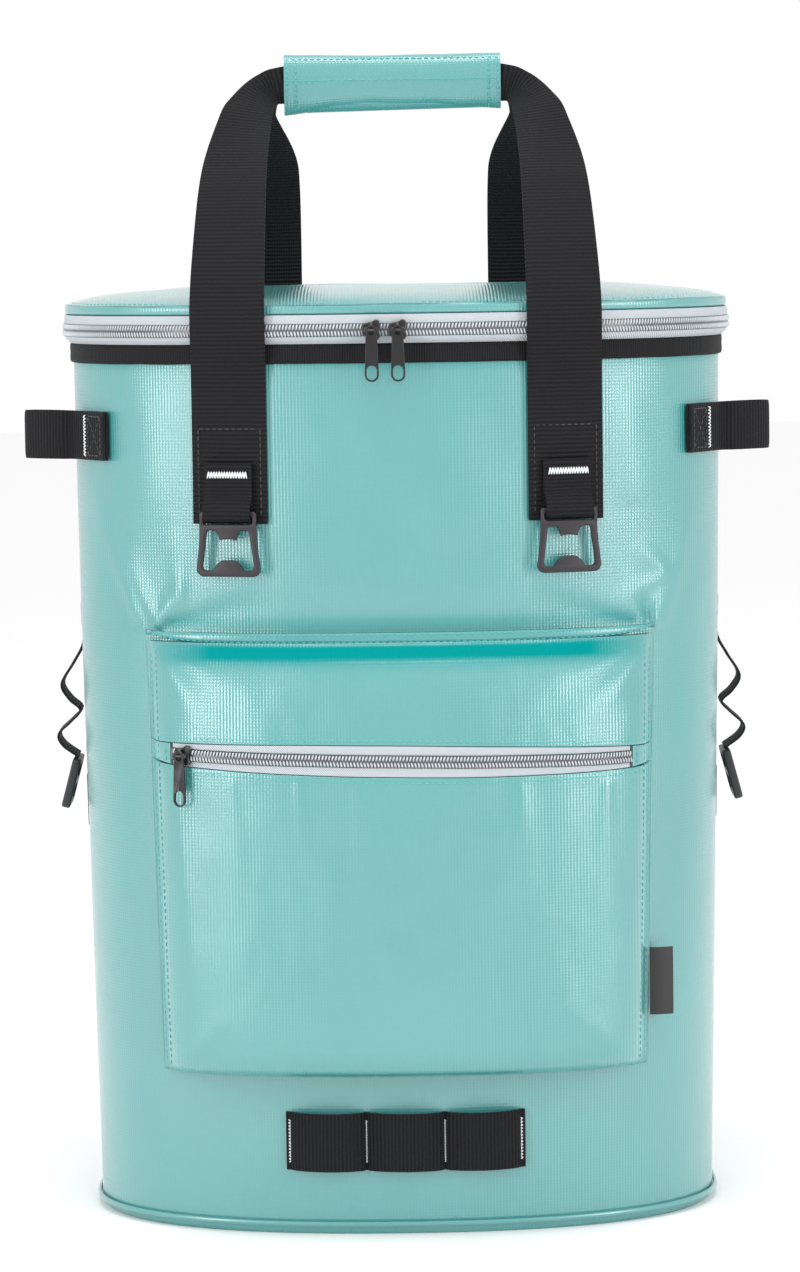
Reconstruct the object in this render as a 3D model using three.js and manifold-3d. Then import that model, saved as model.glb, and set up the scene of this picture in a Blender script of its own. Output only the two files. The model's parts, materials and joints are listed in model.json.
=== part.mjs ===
// Cooler backpack: an oval tarpaulin body with a zipped lid, a front pocket, a webbing carry handle
// with two bottle openers, and padded shoulder straps. Millimetres, +Z up, front towards -Y, the
// origin at the middle of the flat base.
import * as THREE from 'three';
import { mergeVertices } from 'three/addons/utils/BufferGeometryUtils.js';
import Module from 'manifold-3d';

const wasm = await Module();
wasm.setup();

// Driving dimensions
const GAP = 0.3;
const SIDES = 56;

const BODY_HEIGHT = 446;
const BODY_HALF_WIDTH = 169;
const BODY_HALF_FRONT = 103;
const BODY_HALF_BACK = 100;
const FRONT_ROUNDNESS = 2.3;
const BACK_ROUNDNESS = 3.2;
const BODY_WALL = 8;
const FLOOR_THICKNESS = 10;

const PIPING_SIZE = 3;
const PIPING_CENTRE_Z = 5.5;

const BINDING_HEIGHT = 10.4;
const BINDING_THICKNESS = 1.6;
const TAPE_HEIGHT = 14.6;
const TAPE_THICKNESS = 1.2;
const TAPE_BULGE = 4.6;
const COIL_HEIGHT = 6;
const COIL_THICKNESS = 2.4;
const COLLAR_INSET = 2.2;
const HINGE_STEPS = 5;

const LID_OVERHANG = 4;
const LID_RIM_HEIGHT = 4.8;
const LID_CROWN = 8.5;

const WEBBING_WIDTH = 38;
const WEBBING_THICKNESS = 1.8;
const STRAP_LIFT = 1.2;
const FRONT_STRAP_DROP = 80.5;
const FRONT_STRAP_CENTRE = 85;
const BACK_STRAP_CENTRE = 70;
const BACK_STRAP_LENGTH = 20;
const GRIP_LENGTH = 113;
const GRIP_HEIGHT = 30;
const GRIP_DEPTH = 15;
const GRIP_WALL = 1.8;
const GRIP_RISE = 143;
const GRIP_FOLDED_WEBBING = 20;

const LOOP_WIDTH = 25;
const LOOP_THICKNESS = 1.4;
const LOOP_LENGTH = 26;
const OPENER_BAR_RISE = 5;
const OPENER_CORNER = 3.5;
const OPENER_CHAMFER = 1.5;
const SHOULDER_DROP = 2;
const OPENER_WIDTH = 34;
const OPENER_TOP_WIDTH = 30;
const OPENER_HEIGHT = 33;
const OPENER_THICKNESS = 2.4;
const OPENER_BAR = 3;
const OPENER_BORDER = 3.2;
const OPENER_SLOT = 3.4;
const BAR_CLEARANCE = 0.4;
const SLOT_CLEARANCE = 0.6;

const TAB_WIDTH = 25;
const TAB_DROP = 37;
const TAB_REACH = 24;
const TAB_SEWN_LENGTH = 16;
const TAB_EDGE_INSET = 6;
const TAB_LEAN = 20;
const TAB_THICKNESS = 1.6;
const TAB_LOOP_GAP = 7;

const POCKET_DROP = 136;
const POCKET_BOTTOM_Z = 83;
const POCKET_TOP_HALF_WIDTH = 130;
const POCKET_BOTTOM_HALF_WIDTH = 124.5;
const POCKET_DEPTH = 27;
const POCKET_WALL = 1.8;
const POCKET_ZIP_HALF_LENGTH = 117;
const POCKET_ZIP_DROP = 62.2;
const POCKET_ZIP_TAPE_HEIGHT = 15.6;
const POCKET_ZIP_COIL_HEIGHT = 5.6;
const POCKET_ZIP_SAG = 0.9;
const POCKET_ZIP_LEAN = 2.6;
const POCKET_ZIP_NARROWING = 0.38;

const SLIDER_WIDTH = 10.5;
const SLIDER_HEIGHT = 9.5;
const SLIDER_THICKNESS = 2.6;
const SLIDER_PIN_RADIUS = 0.8;
const SLIDER_EAR = 1.3;
const SLIDER_CORNER = 2;
const PULL_WIDTH = 7;
const PULL_LENGTH = 26;
const PULL_RIM = 1.1;
const PULL_HOLE_HEIGHT = 7;
const PULL_THICKNESS = 1.6;
const PULL_BARREL_WIDTH = 3.6;
const LID_SLIDER_SPACING = 13.2;
const LID_SLIDER_MIDDLE = -5.7;
const POCKET_SLIDER_INSET = 7.5;

const LABEL_RISE = 43;
const LABEL_HEIGHT = 35;
const LABEL_WIDTH = 12.5;
const LABEL_THICKNESS = 1;

const DAISY_HEIGHT = 30;
const DAISY_CENTRE_Z = 49;
const DAISY_THICKNESS = 1.6;
const DAISY_BULGE = 6.2;
const DAISY_HALF_LENGTH = 59;
const DAISY_END = 2.2;

const PANEL_HALF_STEPS = 5;
const PANEL_BOTTOM_Z = 48;
const PANEL_DROP = 26;
const PANEL_THICKNESS = 7;
const PANEL_STAND = 1;

const PAD_THICKNESS = 9;
const PAD_WIDTH = 62;
const PAD_DROP = 8;
const PAD_HANG = 166;
const SIDE_WEB_WIDTH = 25;
const SIDE_WEB_Y = 25;
const SIDE_FOLD_DEPTH = 16;
const BUCKLE_WIDTH = 33;
const BUCKLE_HEIGHT = 27;
const BUCKLE_THICKNESS = 4.5;
const BUCKLE_BAR = 3.4;
const BUCKLE_DROP = 80.5;
const BUCKLE_CORNER = 3;
const BUCKLE_OUT = 10.5;
const BUCKLE_TILT = 0.26;
const ANCHOR_LENGTH = 27;
const ANCHOR_RISE = 4.5;

// Heights that follow from them
const RIM_Z = BODY_HEIGHT;
const BINDING_TOP = RIM_Z + BINDING_HEIGHT;
const TAPE_TOP = BINDING_TOP + TAPE_HEIGHT;
const COIL_MIDDLE_Z = BINDING_TOP + TAPE_HEIGHT * 0.45;
const COLLAR_TOP = TAPE_TOP - GAP;
const FRONT_STRAP_BOTTOM = RIM_Z - FRONT_STRAP_DROP;
const OPENER_BAR_Z = FRONT_STRAP_BOTTOM + OPENER_BAR_RISE;
const GRIP_CENTRE_Z = RIM_Z + GRIP_RISE;
const TAB_CENTRE_Z = RIM_Z - TAB_DROP;
const POCKET_TOP_Z = RIM_Z - POCKET_DROP;
const POCKET_ZIP_Z = POCKET_TOP_Z - POCKET_ZIP_DROP;
const LABEL_CENTRE_Z = POCKET_BOTTOM_Z + LABEL_RISE;
const PANEL_TOP_Z = RIM_Z - PANEL_DROP;
const PAD_TOP_Z = PANEL_TOP_Z - PAD_DROP;

const TEAL = '#7ac4c2';
const BLACK = '#26262a';
const GREY_TAPE = '#d2d8dc';
const COIL_GREY = '#9aa0a6';
const GUNMETAL = '#3e3c42';

// The body's outline up its height, as shares of the height and of the half sizes
const BODY_PROFILE = [
  { up: 0.0, wide: 0.945, deep: 0.955 },
  { up: 0.005, wide: 0.958, deep: 0.968 },
  { up: 0.022, wide: 0.961, deep: 0.975 },
  { up: 0.08, wide: 0.963, deep: 0.985 },
  { up: 0.16, wide: 0.968, deep: 0.995 },
  { up: 0.26, wide: 0.973, deep: 1.0 },
  { up: 0.38, wide: 0.978, deep: 1.0 },
  { up: 0.5, wide: 0.983, deep: 1.0 },
  { up: 0.62, wide: 0.989, deep: 1.0 },
  { up: 0.68, wide: 0.992, deep: 1.0 },
  { up: 0.72, wide: 0.993, deep: 1.0 },
  { up: 0.76, wide: 0.994, deep: 1.0 },
  { up: 0.81, wide: 0.996, deep: 1.0 },
  { up: 0.88, wide: 0.998, deep: 0.998 },
  { up: 1.0, wide: 1.0, deep: 0.99 },
];

// Folds pressed in the front: from one point to another as shares of the half width and height,
// with the ridge's height and half width in millimetres
const BODY_FOLDS = [
  { fromX: -0.76, fromUp: 0.7, toX: -0.52, toUp: 0.79, rise: 2.4, spread: 9 },
  { fromX: -0.8, fromUp: 0.7, toX: -0.9, toUp: 0.83, rise: 2.0, spread: 8 },
  { fromX: -0.66, fromUp: 0.71, toX: -0.3, toUp: 0.745, rise: -2.2, spread: 10 },
  { fromX: 0.76, fromUp: 0.7, toX: 0.5, toUp: 0.79, rise: 2.4, spread: 9 },
  { fromX: 0.8, fromUp: 0.7, toX: 0.9, toUp: 0.83, rise: 2.0, spread: 8 },
  { fromX: 0.66, fromUp: 0.71, toX: 0.3, toUp: 0.745, rise: -2.2, spread: 10 },
];

// How far the pocket stands out, up its height, as a share of its depth
const POCKET_PROFILE = [
  { up: 0.0, out: 0.06 },
  { up: 0.012, out: 0.62 },
  { up: 0.035, out: 0.88 },
  { up: 0.09, out: 0.98 },
  { up: 0.2, out: 1.0 },
  { up: 0.4, out: 0.97 },
  { up: 0.6, out: 0.93 },
  { up: 0.75, out: 0.86 },
  { up: 0.86, out: 0.68 },
  { up: 0.93, out: 0.46 },
  { up: 0.965, out: 0.24 },
  { up: 0.985, out: 0.13 },
  { up: 1.0, out: 0.09 },
];

// How far the pocket stands out across its width, by the share of the half width
const POCKET_SIDES = [
  { across: 0.0, out: 1.0 },
  { across: 0.5, out: 1.03 },
  { across: 0.75, out: 1.05 },
  { across: 0.9, out: 0.95 },
  { across: 0.965, out: 0.7 },
  { across: 1.0, out: 0.07 },
];

const point = (x, y, z) => new THREE.Vector3(x, y, z);

// Linear reading of a table's column
function read(table, key, at, column) {
  const last = table.length - 1;
  let row = 0;
  while (row < last - 1 && at > table[row + 1][key]) {
    row += 1;
  }
  const low = table[row];
  const high = table[row + 1];
  const share = THREE.MathUtils.clamp((at - low[key]) / (high[key] - low[key]), 0, 1);
  return low[column] + (high[column] - low[column]) * share;
}

// Closed indexed body, its faces turned outwards
function closedBody(points, faces) {
  const geometry = new THREE.BufferGeometry();
  const places = points.flatMap((p) => [p.x, p.y, p.z]);
  geometry.setAttribute('position', new THREE.Float32BufferAttribute(places, 3));
  let volume = 0;
  for (let f = 0; f < faces.length; f += 3) {
    const [a, b, c] = [points[faces[f]], points[faces[f + 1]], points[faces[f + 2]]];
    volume += a.dot(b.clone().cross(c));
  }
  const turned = [];
  for (let f = 0; f < faces.length; f += 3) {
    turned.push(faces[f], faces[volume > 0 ? f + 1 : f + 2], faces[volume > 0 ? f + 2 : f + 1]);
  }
  geometry.setIndex(turned);
  return geometry;
}

// Body through rings of points: closed at both ends by fans, or looped from the last ring to the
// first
function loft(rings, looped = false) {
  const count = rings[0].length;
  const points = rings.flat();
  const faces = [];
  const spans = looped ? rings.length : rings.length - 1;
  for (let r = 0; r < spans; r += 1) {
    const low = r * count;
    const high = ((r + 1) % rings.length) * count;
    for (let k = 0; k < count; k += 1) {
      const next = (k + 1) % count;
      faces.push(low + k, low + next, high + next, low + k, high + next, high + k);
    }
  }
  if (!looped) {
    for (const [ring, flip] of [[0, true], [rings.length - 1, false]]) {
      const middle = rings[ring].reduce((sum, p) => sum.add(p), point(0, 0, 0)).divideScalar(count);
      const centre = points.push(middle) - 1;
      for (let k = 0; k < count; k += 1) {
        const here = ring * count + k;
        const next = ring * count + ((k + 1) % count);
        faces.push(centre, flip ? next : here, flip ? here : next);
      }
    }
  }
  return closedBody(points, faces);
}

// Cloth sheet from a grid of outer points; the inner face lies a thickness behind, kept off what
// is under it
function sheet(grid, thickness, keepOff = (p) => p) {
  const rows = grid.length;
  const columns = grid[0].length;
  const within = (value, count) => THREE.MathUtils.clamp(value, 0, count - 1);
  const pick = (r, c) => grid[within(r, rows)][within(c, columns)];
  const inner = grid.map((row, r) => row.map((p, c) => {
    const along = pick(r, c + 1).clone().sub(pick(r, c - 1));
    const up = pick(r + 1, c).clone().sub(pick(r - 1, c));
    const normal = along.cross(up).normalize();
    return keepOff(p.clone().addScaledVector(normal, -thickness));
  }));
  const points = [...grid.flat(), ...inner.flat()];
  const back = rows * columns;
  const faces = [];
  const at = (r, c) => r * columns + c;
  for (let r = 0; r < rows - 1; r += 1) {
    for (let c = 0; c < columns - 1; c += 1) {
      const [a, b, d, e] = [at(r, c), at(r, c + 1), at(r + 1, c + 1), at(r + 1, c)];
      faces.push(a, b, d, a, d, e, back + a, back + d, back + b, back + a, back + e, back + d);
    }
  }
  const border = [];
  for (let c = 0; c < columns; c += 1) {
    border.push(at(0, c));
  }
  for (let r = 1; r < rows; r += 1) {
    border.push(at(r, columns - 1));
  }
  for (let c = columns - 2; c >= 0; c -= 1) {
    border.push(at(rows - 1, c));
  }
  for (let r = rows - 2; r > 0; r -= 1) {
    border.push(at(r, 0));
  }
  border.forEach((here, k) => {
    const next = border[(k + 1) % border.length];
    faces.push(here, back + here, back + next, here, back + next, next);
  });
  return closedBody(points, faces);
}

// Webbing through stations, each with its two edge points
function ribbon(stations, thickness) {
  const centres = stations.map(([a, b]) => a.clone().add(b).multiplyScalar(0.5));
  const rings = stations.map(([a, b], s) => {
    const along = centres[Math.min(s + 1, centres.length - 1)].clone().sub(centres[Math.max(s - 1, 0)]);
    const half = along.cross(b.clone().sub(a)).normalize().multiplyScalar(thickness / 2);
    return [a.clone().add(half), a.clone().sub(half), b.clone().sub(half), b.clone().add(half)];
  });
  return loft(rings);
}

// Copy of a body on the other side of the middle plane
function otherSide(geometry) {
  const copy = geometry.clone().scale(-1, 1, 1);
  const faces = copy.index.array;
  for (let f = 0; f < faces.length; f += 3) {
    [faces[f + 1], faces[f + 2]] = [faces[f + 2], faces[f + 1]];
  }
  return copy;
}

function solid(geometry) {
  const bare = geometry.clone();
  bare.deleteAttribute('normal');
  bare.deleteAttribute('uv');
  const merged = mergeVertices(bare, 1e-4);
  const vertProperties = new Float32Array(merged.attributes.position.array);
  const triVerts = new Uint32Array(merged.index.array);
  return new wasm.Manifold(new wasm.Mesh({ numProp: 3, vertProperties, triVerts }));
}

function meshed(body) {
  const mesh = body.getMesh();
  const geometry = new THREE.BufferGeometry();
  geometry.setAttribute('position', new THREE.BufferAttribute(new Float32Array(mesh.vertProperties), 3));
  geometry.setIndex([...mesh.triVerts]);
  return geometry;
}

const bag = new THREE.Group();

function add(name, geometry, colour, metalness = 0, roughness = 0.6, parent = bag) {
  const material = new THREE.MeshStandardMaterial({ color: colour, metalness, roughness });
  const mesh = new THREE.Mesh(geometry, material);
  mesh.name = name;
  parent.add(mesh);
  return mesh;
}

// Height of the folds on the front at a place
function foldRise(x, z) {
  return BODY_FOLDS.reduce((sum, fold) => {
    const start = new THREE.Vector2(fold.fromX * BODY_HALF_WIDTH, fold.fromUp * BODY_HEIGHT);
    const run = new THREE.Vector2(fold.toX * BODY_HALF_WIDTH, fold.toUp * BODY_HEIGHT).sub(start);
    const here = new THREE.Vector2(x, z).sub(start);
    const share = THREE.MathUtils.clamp(here.dot(run) / run.lengthSq(), 0, 1);
    const away = here.addScaledVector(run, -share).length();
    const fade = Math.sin(Math.PI * (0.35 + 0.65 * share)) ** 0.7;
    return sum + fold.rise * Math.exp(-((away / fold.spread) ** 2)) * fade;
  }, 0);
}

function bodySize(z) {
  const up = z / BODY_HEIGHT;
  const wide = read(BODY_PROFILE, 'up', up, 'wide');
  const deep = read(BODY_PROFILE, 'up', up, 'deep');
  return { wide: BODY_HALF_WIDTH * wide, front: BODY_HALF_FRONT * deep, back: BODY_HALF_BACK * deep };
}

// Point on the body's plan outline; the angle runs anticlockwise from +X
function planPoint(angle, z, offset = 0, folds = false) {
  const size = bodySize(z);
  const front = Math.sin(angle) < 0;
  const roundness = front ? FRONT_ROUNDNESS : BACK_ROUNDNESS;
  const curve = (v) => Math.sign(v) * Math.abs(v) ** (2 / roundness);
  const x = (size.wide + offset) * curve(Math.cos(angle));
  const y = ((front ? size.front : size.back) + offset) * curve(Math.sin(angle));
  const rise = folds && front ? foldRise(x, z) * Math.min(1, -y / (0.4 * size.front)) : 0;
  return point(x, y - rise, z);
}

// Depth of the front or back face under a place
function faceY(x, z, back = false) {
  const size = bodySize(z);
  const roundness = back ? BACK_ROUNDNESS : FRONT_ROUNDNESS;
  const share = Math.max(0, 1 - Math.min(1, Math.abs(x) / size.wide) ** roundness) ** (1 / roundness);
  if (back) {
    return size.back * share;
  }
  return -size.front * share - foldRise(x, z) * Math.min(1, share / 0.4);
}

// Point on the front outline at a distance from the middle plane, standing off the face
function frontPoint(x, z, offset) {
  const angle = -Math.acos((x / bodySize(z).wide) ** (FRONT_ROUNDNESS / 2));
  return planPoint(angle, z, offset);
}

// How far out the body's side is at a distance behind the middle
function sideX(y, z) {
  const size = bodySize(z);
  return size.wide * (1 - (y / size.back) ** BACK_ROUNDNESS) ** (1 / BACK_ROUNDNESS);
}

const stepAngle = (k) => (k * 2 * Math.PI) / SIDES;

function planRing(z, offset, folds = false) {
  return Array.from({ length: SIDES }, (_, k) => planPoint(stepAngle(k), z, offset, folds));
}

// Strip round the body from one step to another, through a section of offsets and heights
function band(section, fromStep, toStep) {
  const rings = [];
  for (let k = fromStep; k <= toStep; k += 1) {
    rings.push(section.map(({ out, z }) => {
      const p = planPoint(stepAngle(k), Math.min(z, BODY_HEIGHT), out);
      return point(p.x, p.y, z);
    }));
  }
  const whole = toStep - fromStep === SIDES;
  return loft(whole ? rings.slice(0, SIDES) : rings, whole);
}

function buildBody() {
  const rimOffset = -COLLAR_INSET;
  const ringAt = (z, offset, folds) => {
    const ring = planRing(Math.min(z, RIM_Z), offset, folds);
    return ring.map((p) => point(p.x, p.y, z));
  };
  const levels = BODY_PROFILE.map((row) => row.up * BODY_HEIGHT);
  const outside = levels.map((z) => ringAt(z, 0, true));
  const wallTop = [ringAt(RIM_Z, rimOffset, false), ringAt(COLLAR_TOP, rimOffset, false)];
  const insideLevels = [COLLAR_TOP, RIM_Z * 0.78, RIM_Z * 0.45, RIM_Z * 0.2, FLOOR_THICKNESS];
  const inside = insideLevels.map((z) => ringAt(z, -BODY_WALL));
  add('body_shell', loft([...outside, ...wallTop, ...inside]), TEAL, 0, 0.35);

  const half = PIPING_SIZE / 2;
  const pipingFoot = PIPING_CENTRE_Z - half;
  const pipingHead = PIPING_CENTRE_Z + half;
  add('base_piping', band([
    { out: GAP, z: pipingFoot }, { out: PIPING_SIZE * 0.75, z: pipingFoot + half * 0.4 },
    { out: PIPING_SIZE * 0.75, z: pipingHead - half * 0.4 }, { out: GAP, z: pipingHead },
  ], 0, SIDES), TEAL, 0, 0.35);
}

function buildRim() {
  const bindingFoot = RIM_Z + GAP;
  add('rim_binding', band([
    { out: 0, z: bindingFoot }, { out: BINDING_THICKNESS, z: bindingFoot },
    { out: BINDING_THICKNESS, z: BINDING_TOP - GAP }, { out: 0, z: BINDING_TOP - GAP },
  ], 0, SIDES), BLACK);

  const back = SIDES / 4;
  const from = back + HINGE_STEPS - SIDES;
  const to = back - HINGE_STEPS;
  const coilFoot = COIL_MIDDLE_Z - COIL_HEIGHT / 2;
  const coilHead = COIL_MIDDLE_Z + COIL_HEIGHT / 2;
  const inner = TAPE_BULGE - TAPE_THICKNESS;
  add('lid_zip_tape_lower', band([
    { out: 0.2, z: BINDING_TOP }, { out: 0.2 + TAPE_THICKNESS, z: BINDING_TOP },
    { out: TAPE_BULGE, z: coilFoot - GAP }, { out: inner, z: coilFoot - GAP },
  ], from, to), GREY_TAPE);
  const coilBack = TAPE_BULGE - COIL_THICKNESS / 2;
  const coilFront = TAPE_BULGE + COIL_THICKNESS / 2;
  add('lid_zip_coil', band([
    { out: coilBack, z: coilFoot }, { out: coilFront, z: coilFoot + GAP },
    { out: coilFront, z: coilHead - GAP }, { out: coilBack, z: coilHead },
  ], from, to), COIL_GREY, 0.3);
  add('lid_zip_tape_upper', band([
    { out: inner, z: coilHead + GAP }, { out: TAPE_BULGE, z: coilHead + GAP },
    { out: LID_OVERHANG + 0.2, z: TAPE_TOP - GAP }, { out: LID_OVERHANG - TAPE_THICKNESS, z: TAPE_TOP - GAP },
  ], from, to), GREY_TAPE);
  add('lid_hinge', band([
    { out: 0, z: BINDING_TOP }, { out: 1.8, z: BINDING_TOP },
    { out: 1.8, z: TAPE_TOP - GAP }, { out: 0, z: TAPE_TOP - GAP },
  ], to, from + SIDES), TEAL, 0, 0.35);
}

// Rows of the lid from its underside to the crown: shares of the overhang, of the way in to the
// middle, of the rim's height and of the crown
const LID_PROFILE = [
  { over: 0.85, inward: 0, up: 0, crown: 0 },
  { over: 1, inward: 0, up: 0.25, crown: 0 },
  { over: 1, inward: 0, up: 0.9, crown: 0 },
  { over: 0.6, inward: 0, up: 1, crown: 0.04 },
  { over: 0, inward: 0.06, up: 1, crown: 0.3 },
  { over: 0, inward: 0.26, up: 1, crown: 0.66 },
  { over: 0, inward: 0.58, up: 1, crown: 0.92 },
  { over: 0, inward: 0.92, up: 1, crown: 1 },
];

function buildLid() {
  const depth = Math.min(BODY_HALF_FRONT, BODY_HALF_BACK);
  const rings = LID_PROFILE.map(({ over, inward, up, crown }) => {
    const z = TAPE_TOP + up * LID_RIM_HEIGHT + crown * LID_CROWN;
    return planRing(RIM_Z, over * LID_OVERHANG - inward * depth).map((p) => point(p.x, p.y, z));
  });
  add('lid_panel', loft(rings), TEAL, 0, 0.35);
}

// A flat plate of the given outline, lying in the XZ plane, its thickness along Y
function plate(shape, thickness, curveSegments = 5) {
  const geometry = new THREE.ExtrudeGeometry(shape, { depth: thickness, bevelEnabled: false, curveSegments });
  geometry.translate(0, 0, -thickness / 2);
  geometry.rotateX(Math.PI / 2);
  return geometry;
}

// A bar along X of the given outline in the YZ plane
function barAlongX(shape, length, curveSegments = 5) {
  const geometry = new THREE.ExtrudeGeometry(shape, { depth: length, bevelEnabled: false, curveSegments });
  geometry.translate(0, 0, -length / 2);
  geometry.rotateZ(Math.PI / 2);
  geometry.rotateY(Math.PI / 2);
  return geometry;
}

function roundedRectangle(left, bottom, right, top, radius, path = new THREE.Shape()) {
  path.moveTo(left + radius, bottom);
  path.lineTo(right - radius, bottom);
  path.absarc(right - radius, bottom + radius, radius, -Math.PI / 2, 0);
  path.lineTo(right, top - radius);
  path.absarc(right - radius, top - radius, radius, 0, Math.PI / 2);
  path.lineTo(left + radius, top);
  path.absarc(left + radius, top - radius, radius, Math.PI / 2, Math.PI);
  path.lineTo(left, bottom + radius);
  path.absarc(left + radius, bottom + radius, radius, Math.PI, Math.PI * 1.5);
  return path;
}

const BARREL_BORE = SLIDER_PIN_RADIUS + GAP;
const BARREL_RADIUS = BARREL_BORE + 0.9;
const PIN_FORWARD = SLIDER_THICKNESS / 2 + BARREL_RADIUS + GAP;

// Slider with two ears and a pin along X, its body centred on the origin
function sliderGeometry() {
  const half = SLIDER_WIDTH / 2;
  const outline = roundedRectangle(-half, -SLIDER_HEIGHT / 2, half, SLIDER_HEIGHT / 2, SLIDER_CORNER);
  const block = solid(plate(outline, SLIDER_THICKNESS, 2));
  const earReach = PIN_FORWARD + SLIDER_PIN_RADIUS + 0.5;
  const earX = PULL_BARREL_WIDTH / 2 + GAP + SLIDER_EAR / 2;
  let body = block;
  for (const side of [-1, 1]) {
    const ear = new THREE.BoxGeometry(SLIDER_EAR, earReach, SLIDER_PIN_RADIUS * 2 + 1.6);
    ear.translate(side * earX, -earReach / 2, 0);
    body = body.add(solid(ear));
  }
  const pin = new THREE.CylinderGeometry(SLIDER_PIN_RADIUS, SLIDER_PIN_RADIUS, earX * 2, 8);
  pin.rotateZ(Math.PI / 2);
  pin.translate(0, -PIN_FORWARD, 0);
  return meshed(body.add(solid(pin)));
}

// Pull hanging from the pin, which is the origin
function pullGeometry() {
  const barrel = new THREE.Shape().absarc(0, 0, BARREL_RADIUS, 0, Math.PI * 2);
  barrel.holes.push(new THREE.Path().absarc(0, 0, BARREL_BORE, 0, Math.PI * 2));
  const eye = solid(barAlongX(barrel, PULL_BARREL_WIDTH, 6));
  const half = PULL_WIDTH / 2;
  const neck = PULL_BARREL_WIDTH / 2;
  const outline = new THREE.Shape();
  outline.moveTo(-neck, -BARREL_BORE - 0.3);
  outline.lineTo(-neck, -PULL_LENGTH * 0.3);
  outline.lineTo(-half, -PULL_LENGTH * 0.48);
  outline.lineTo(-half, -PULL_LENGTH + half);
  outline.absarc(0, -PULL_LENGTH + half, half, Math.PI, Math.PI * 2);
  outline.lineTo(half, -PULL_LENGTH * 0.48);
  outline.lineTo(neck, -PULL_LENGTH * 0.3);
  outline.lineTo(neck, -BARREL_BORE - 0.3);
  const hole = half - PULL_RIM;
  const holeFoot = -PULL_LENGTH + PULL_RIM;
  const holeTop = holeFoot + PULL_HOLE_HEIGHT;
  outline.holes.push(roundedRectangle(-hole, holeFoot, hole, holeTop, hole * 0.95, new THREE.Path()));
  return meshed(eye.add(solid(plate(outline, PULL_THICKNESS, 3))));
}

function addSlider(name, pullName, x, y, z, yaw) {
  const place = new THREE.Group();
  place.position.set(x, y, z);
  place.rotation.z = yaw;
  bag.add(place);
  add(name, sliderGeometry(), GUNMETAL, 0.6, 0.4, place);
  const hanging = new THREE.Group();
  hanging.position.set(0, -PIN_FORWARD, 0);
  place.add(hanging);
  add(pullName, pullGeometry(), GUNMETAL, 0.6, 0.4, hanging);
}

function buildLidSliders() {
  const y = faceY(0, RIM_Z) - TAPE_BULGE - COIL_THICKNESS / 2 - GAP - SLIDER_THICKNESS / 2;
  for (const [side, word] of [[-1, 'left'], [1, 'right']]) {
    const x = LID_SLIDER_MIDDLE + (side * LID_SLIDER_SPACING) / 2;
    addSlider(`lid_zip_slider_${word}`, `lid_zip_pull_${word}`, x, y, COIL_MIDDLE_Z, 0);
  }
}

function pocketHalfWidth(z) {
  const up = (z - POCKET_BOTTOM_Z) / (POCKET_TOP_Z - POCKET_BOTTOM_Z);
  return POCKET_BOTTOM_HALF_WIDTH + (POCKET_TOP_HALF_WIDTH - POCKET_BOTTOM_HALF_WIDTH) * up;
}

function pocketPoint(share, z, lift = 0) {
  const x = share * pocketHalfWidth(z);
  const up = (z - POCKET_BOTTOM_Z) / (POCKET_TOP_Z - POCKET_BOTTOM_Z);
  const across = read(POCKET_SIDES, 'across', Math.abs(share), 'out');
  const depth = POCKET_DEPTH * read(POCKET_PROFILE, 'up', up, 'out') * across;
  return point(x, faceY(x, z) - GAP - POCKET_WALL - depth - lift, z);
}

const offFront = (p) => point(p.x, Math.min(p.y, faceY(p.x, p.z) - GAP), p.z);

// Heights along the pocket zip, which leans and sags a little; its tape is drawn in at the ends
const zipMiddle = (share) => POCKET_ZIP_Z - POCKET_ZIP_LEAN * share - POCKET_ZIP_SAG * (1 - share ** 2);
const coilLine = (offset) => (share) => zipMiddle(share) + offset;
const tapeLine = (side, gap = 0) => (share) => {
  const half = (POCKET_ZIP_TAPE_HEIGHT / 2) * (1 - POCKET_ZIP_NARROWING * share ** 2);
  return zipMiddle(share) + side * (half + gap);
};

// Patch of the pocket's surface between two height lines, over a range of the width
function pocketPatch(shares, lowLine, highLine, rowShares, thickness, lift = 0) {
  const grid = rowShares.map((row) => shares.map((share) => {
    const low = lowLine(share);
    return pocketPoint(share, low + (highLine(share) - low) * row, lift);
  }));
  return sheet(grid, thickness, offFront);
}

const POCKET_COLUMNS = [
  -1, -0.965, -0.9, -0.8, -0.65, -0.5, -0.35, -0.18, 0, 0.18, 0.35, 0.5, 0.65, 0.8, 0.9, 0.965, 1,
];
const POCKET_SIDE_SEAM = 0.965;
const COIL_PROUD = 0.9;

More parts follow.
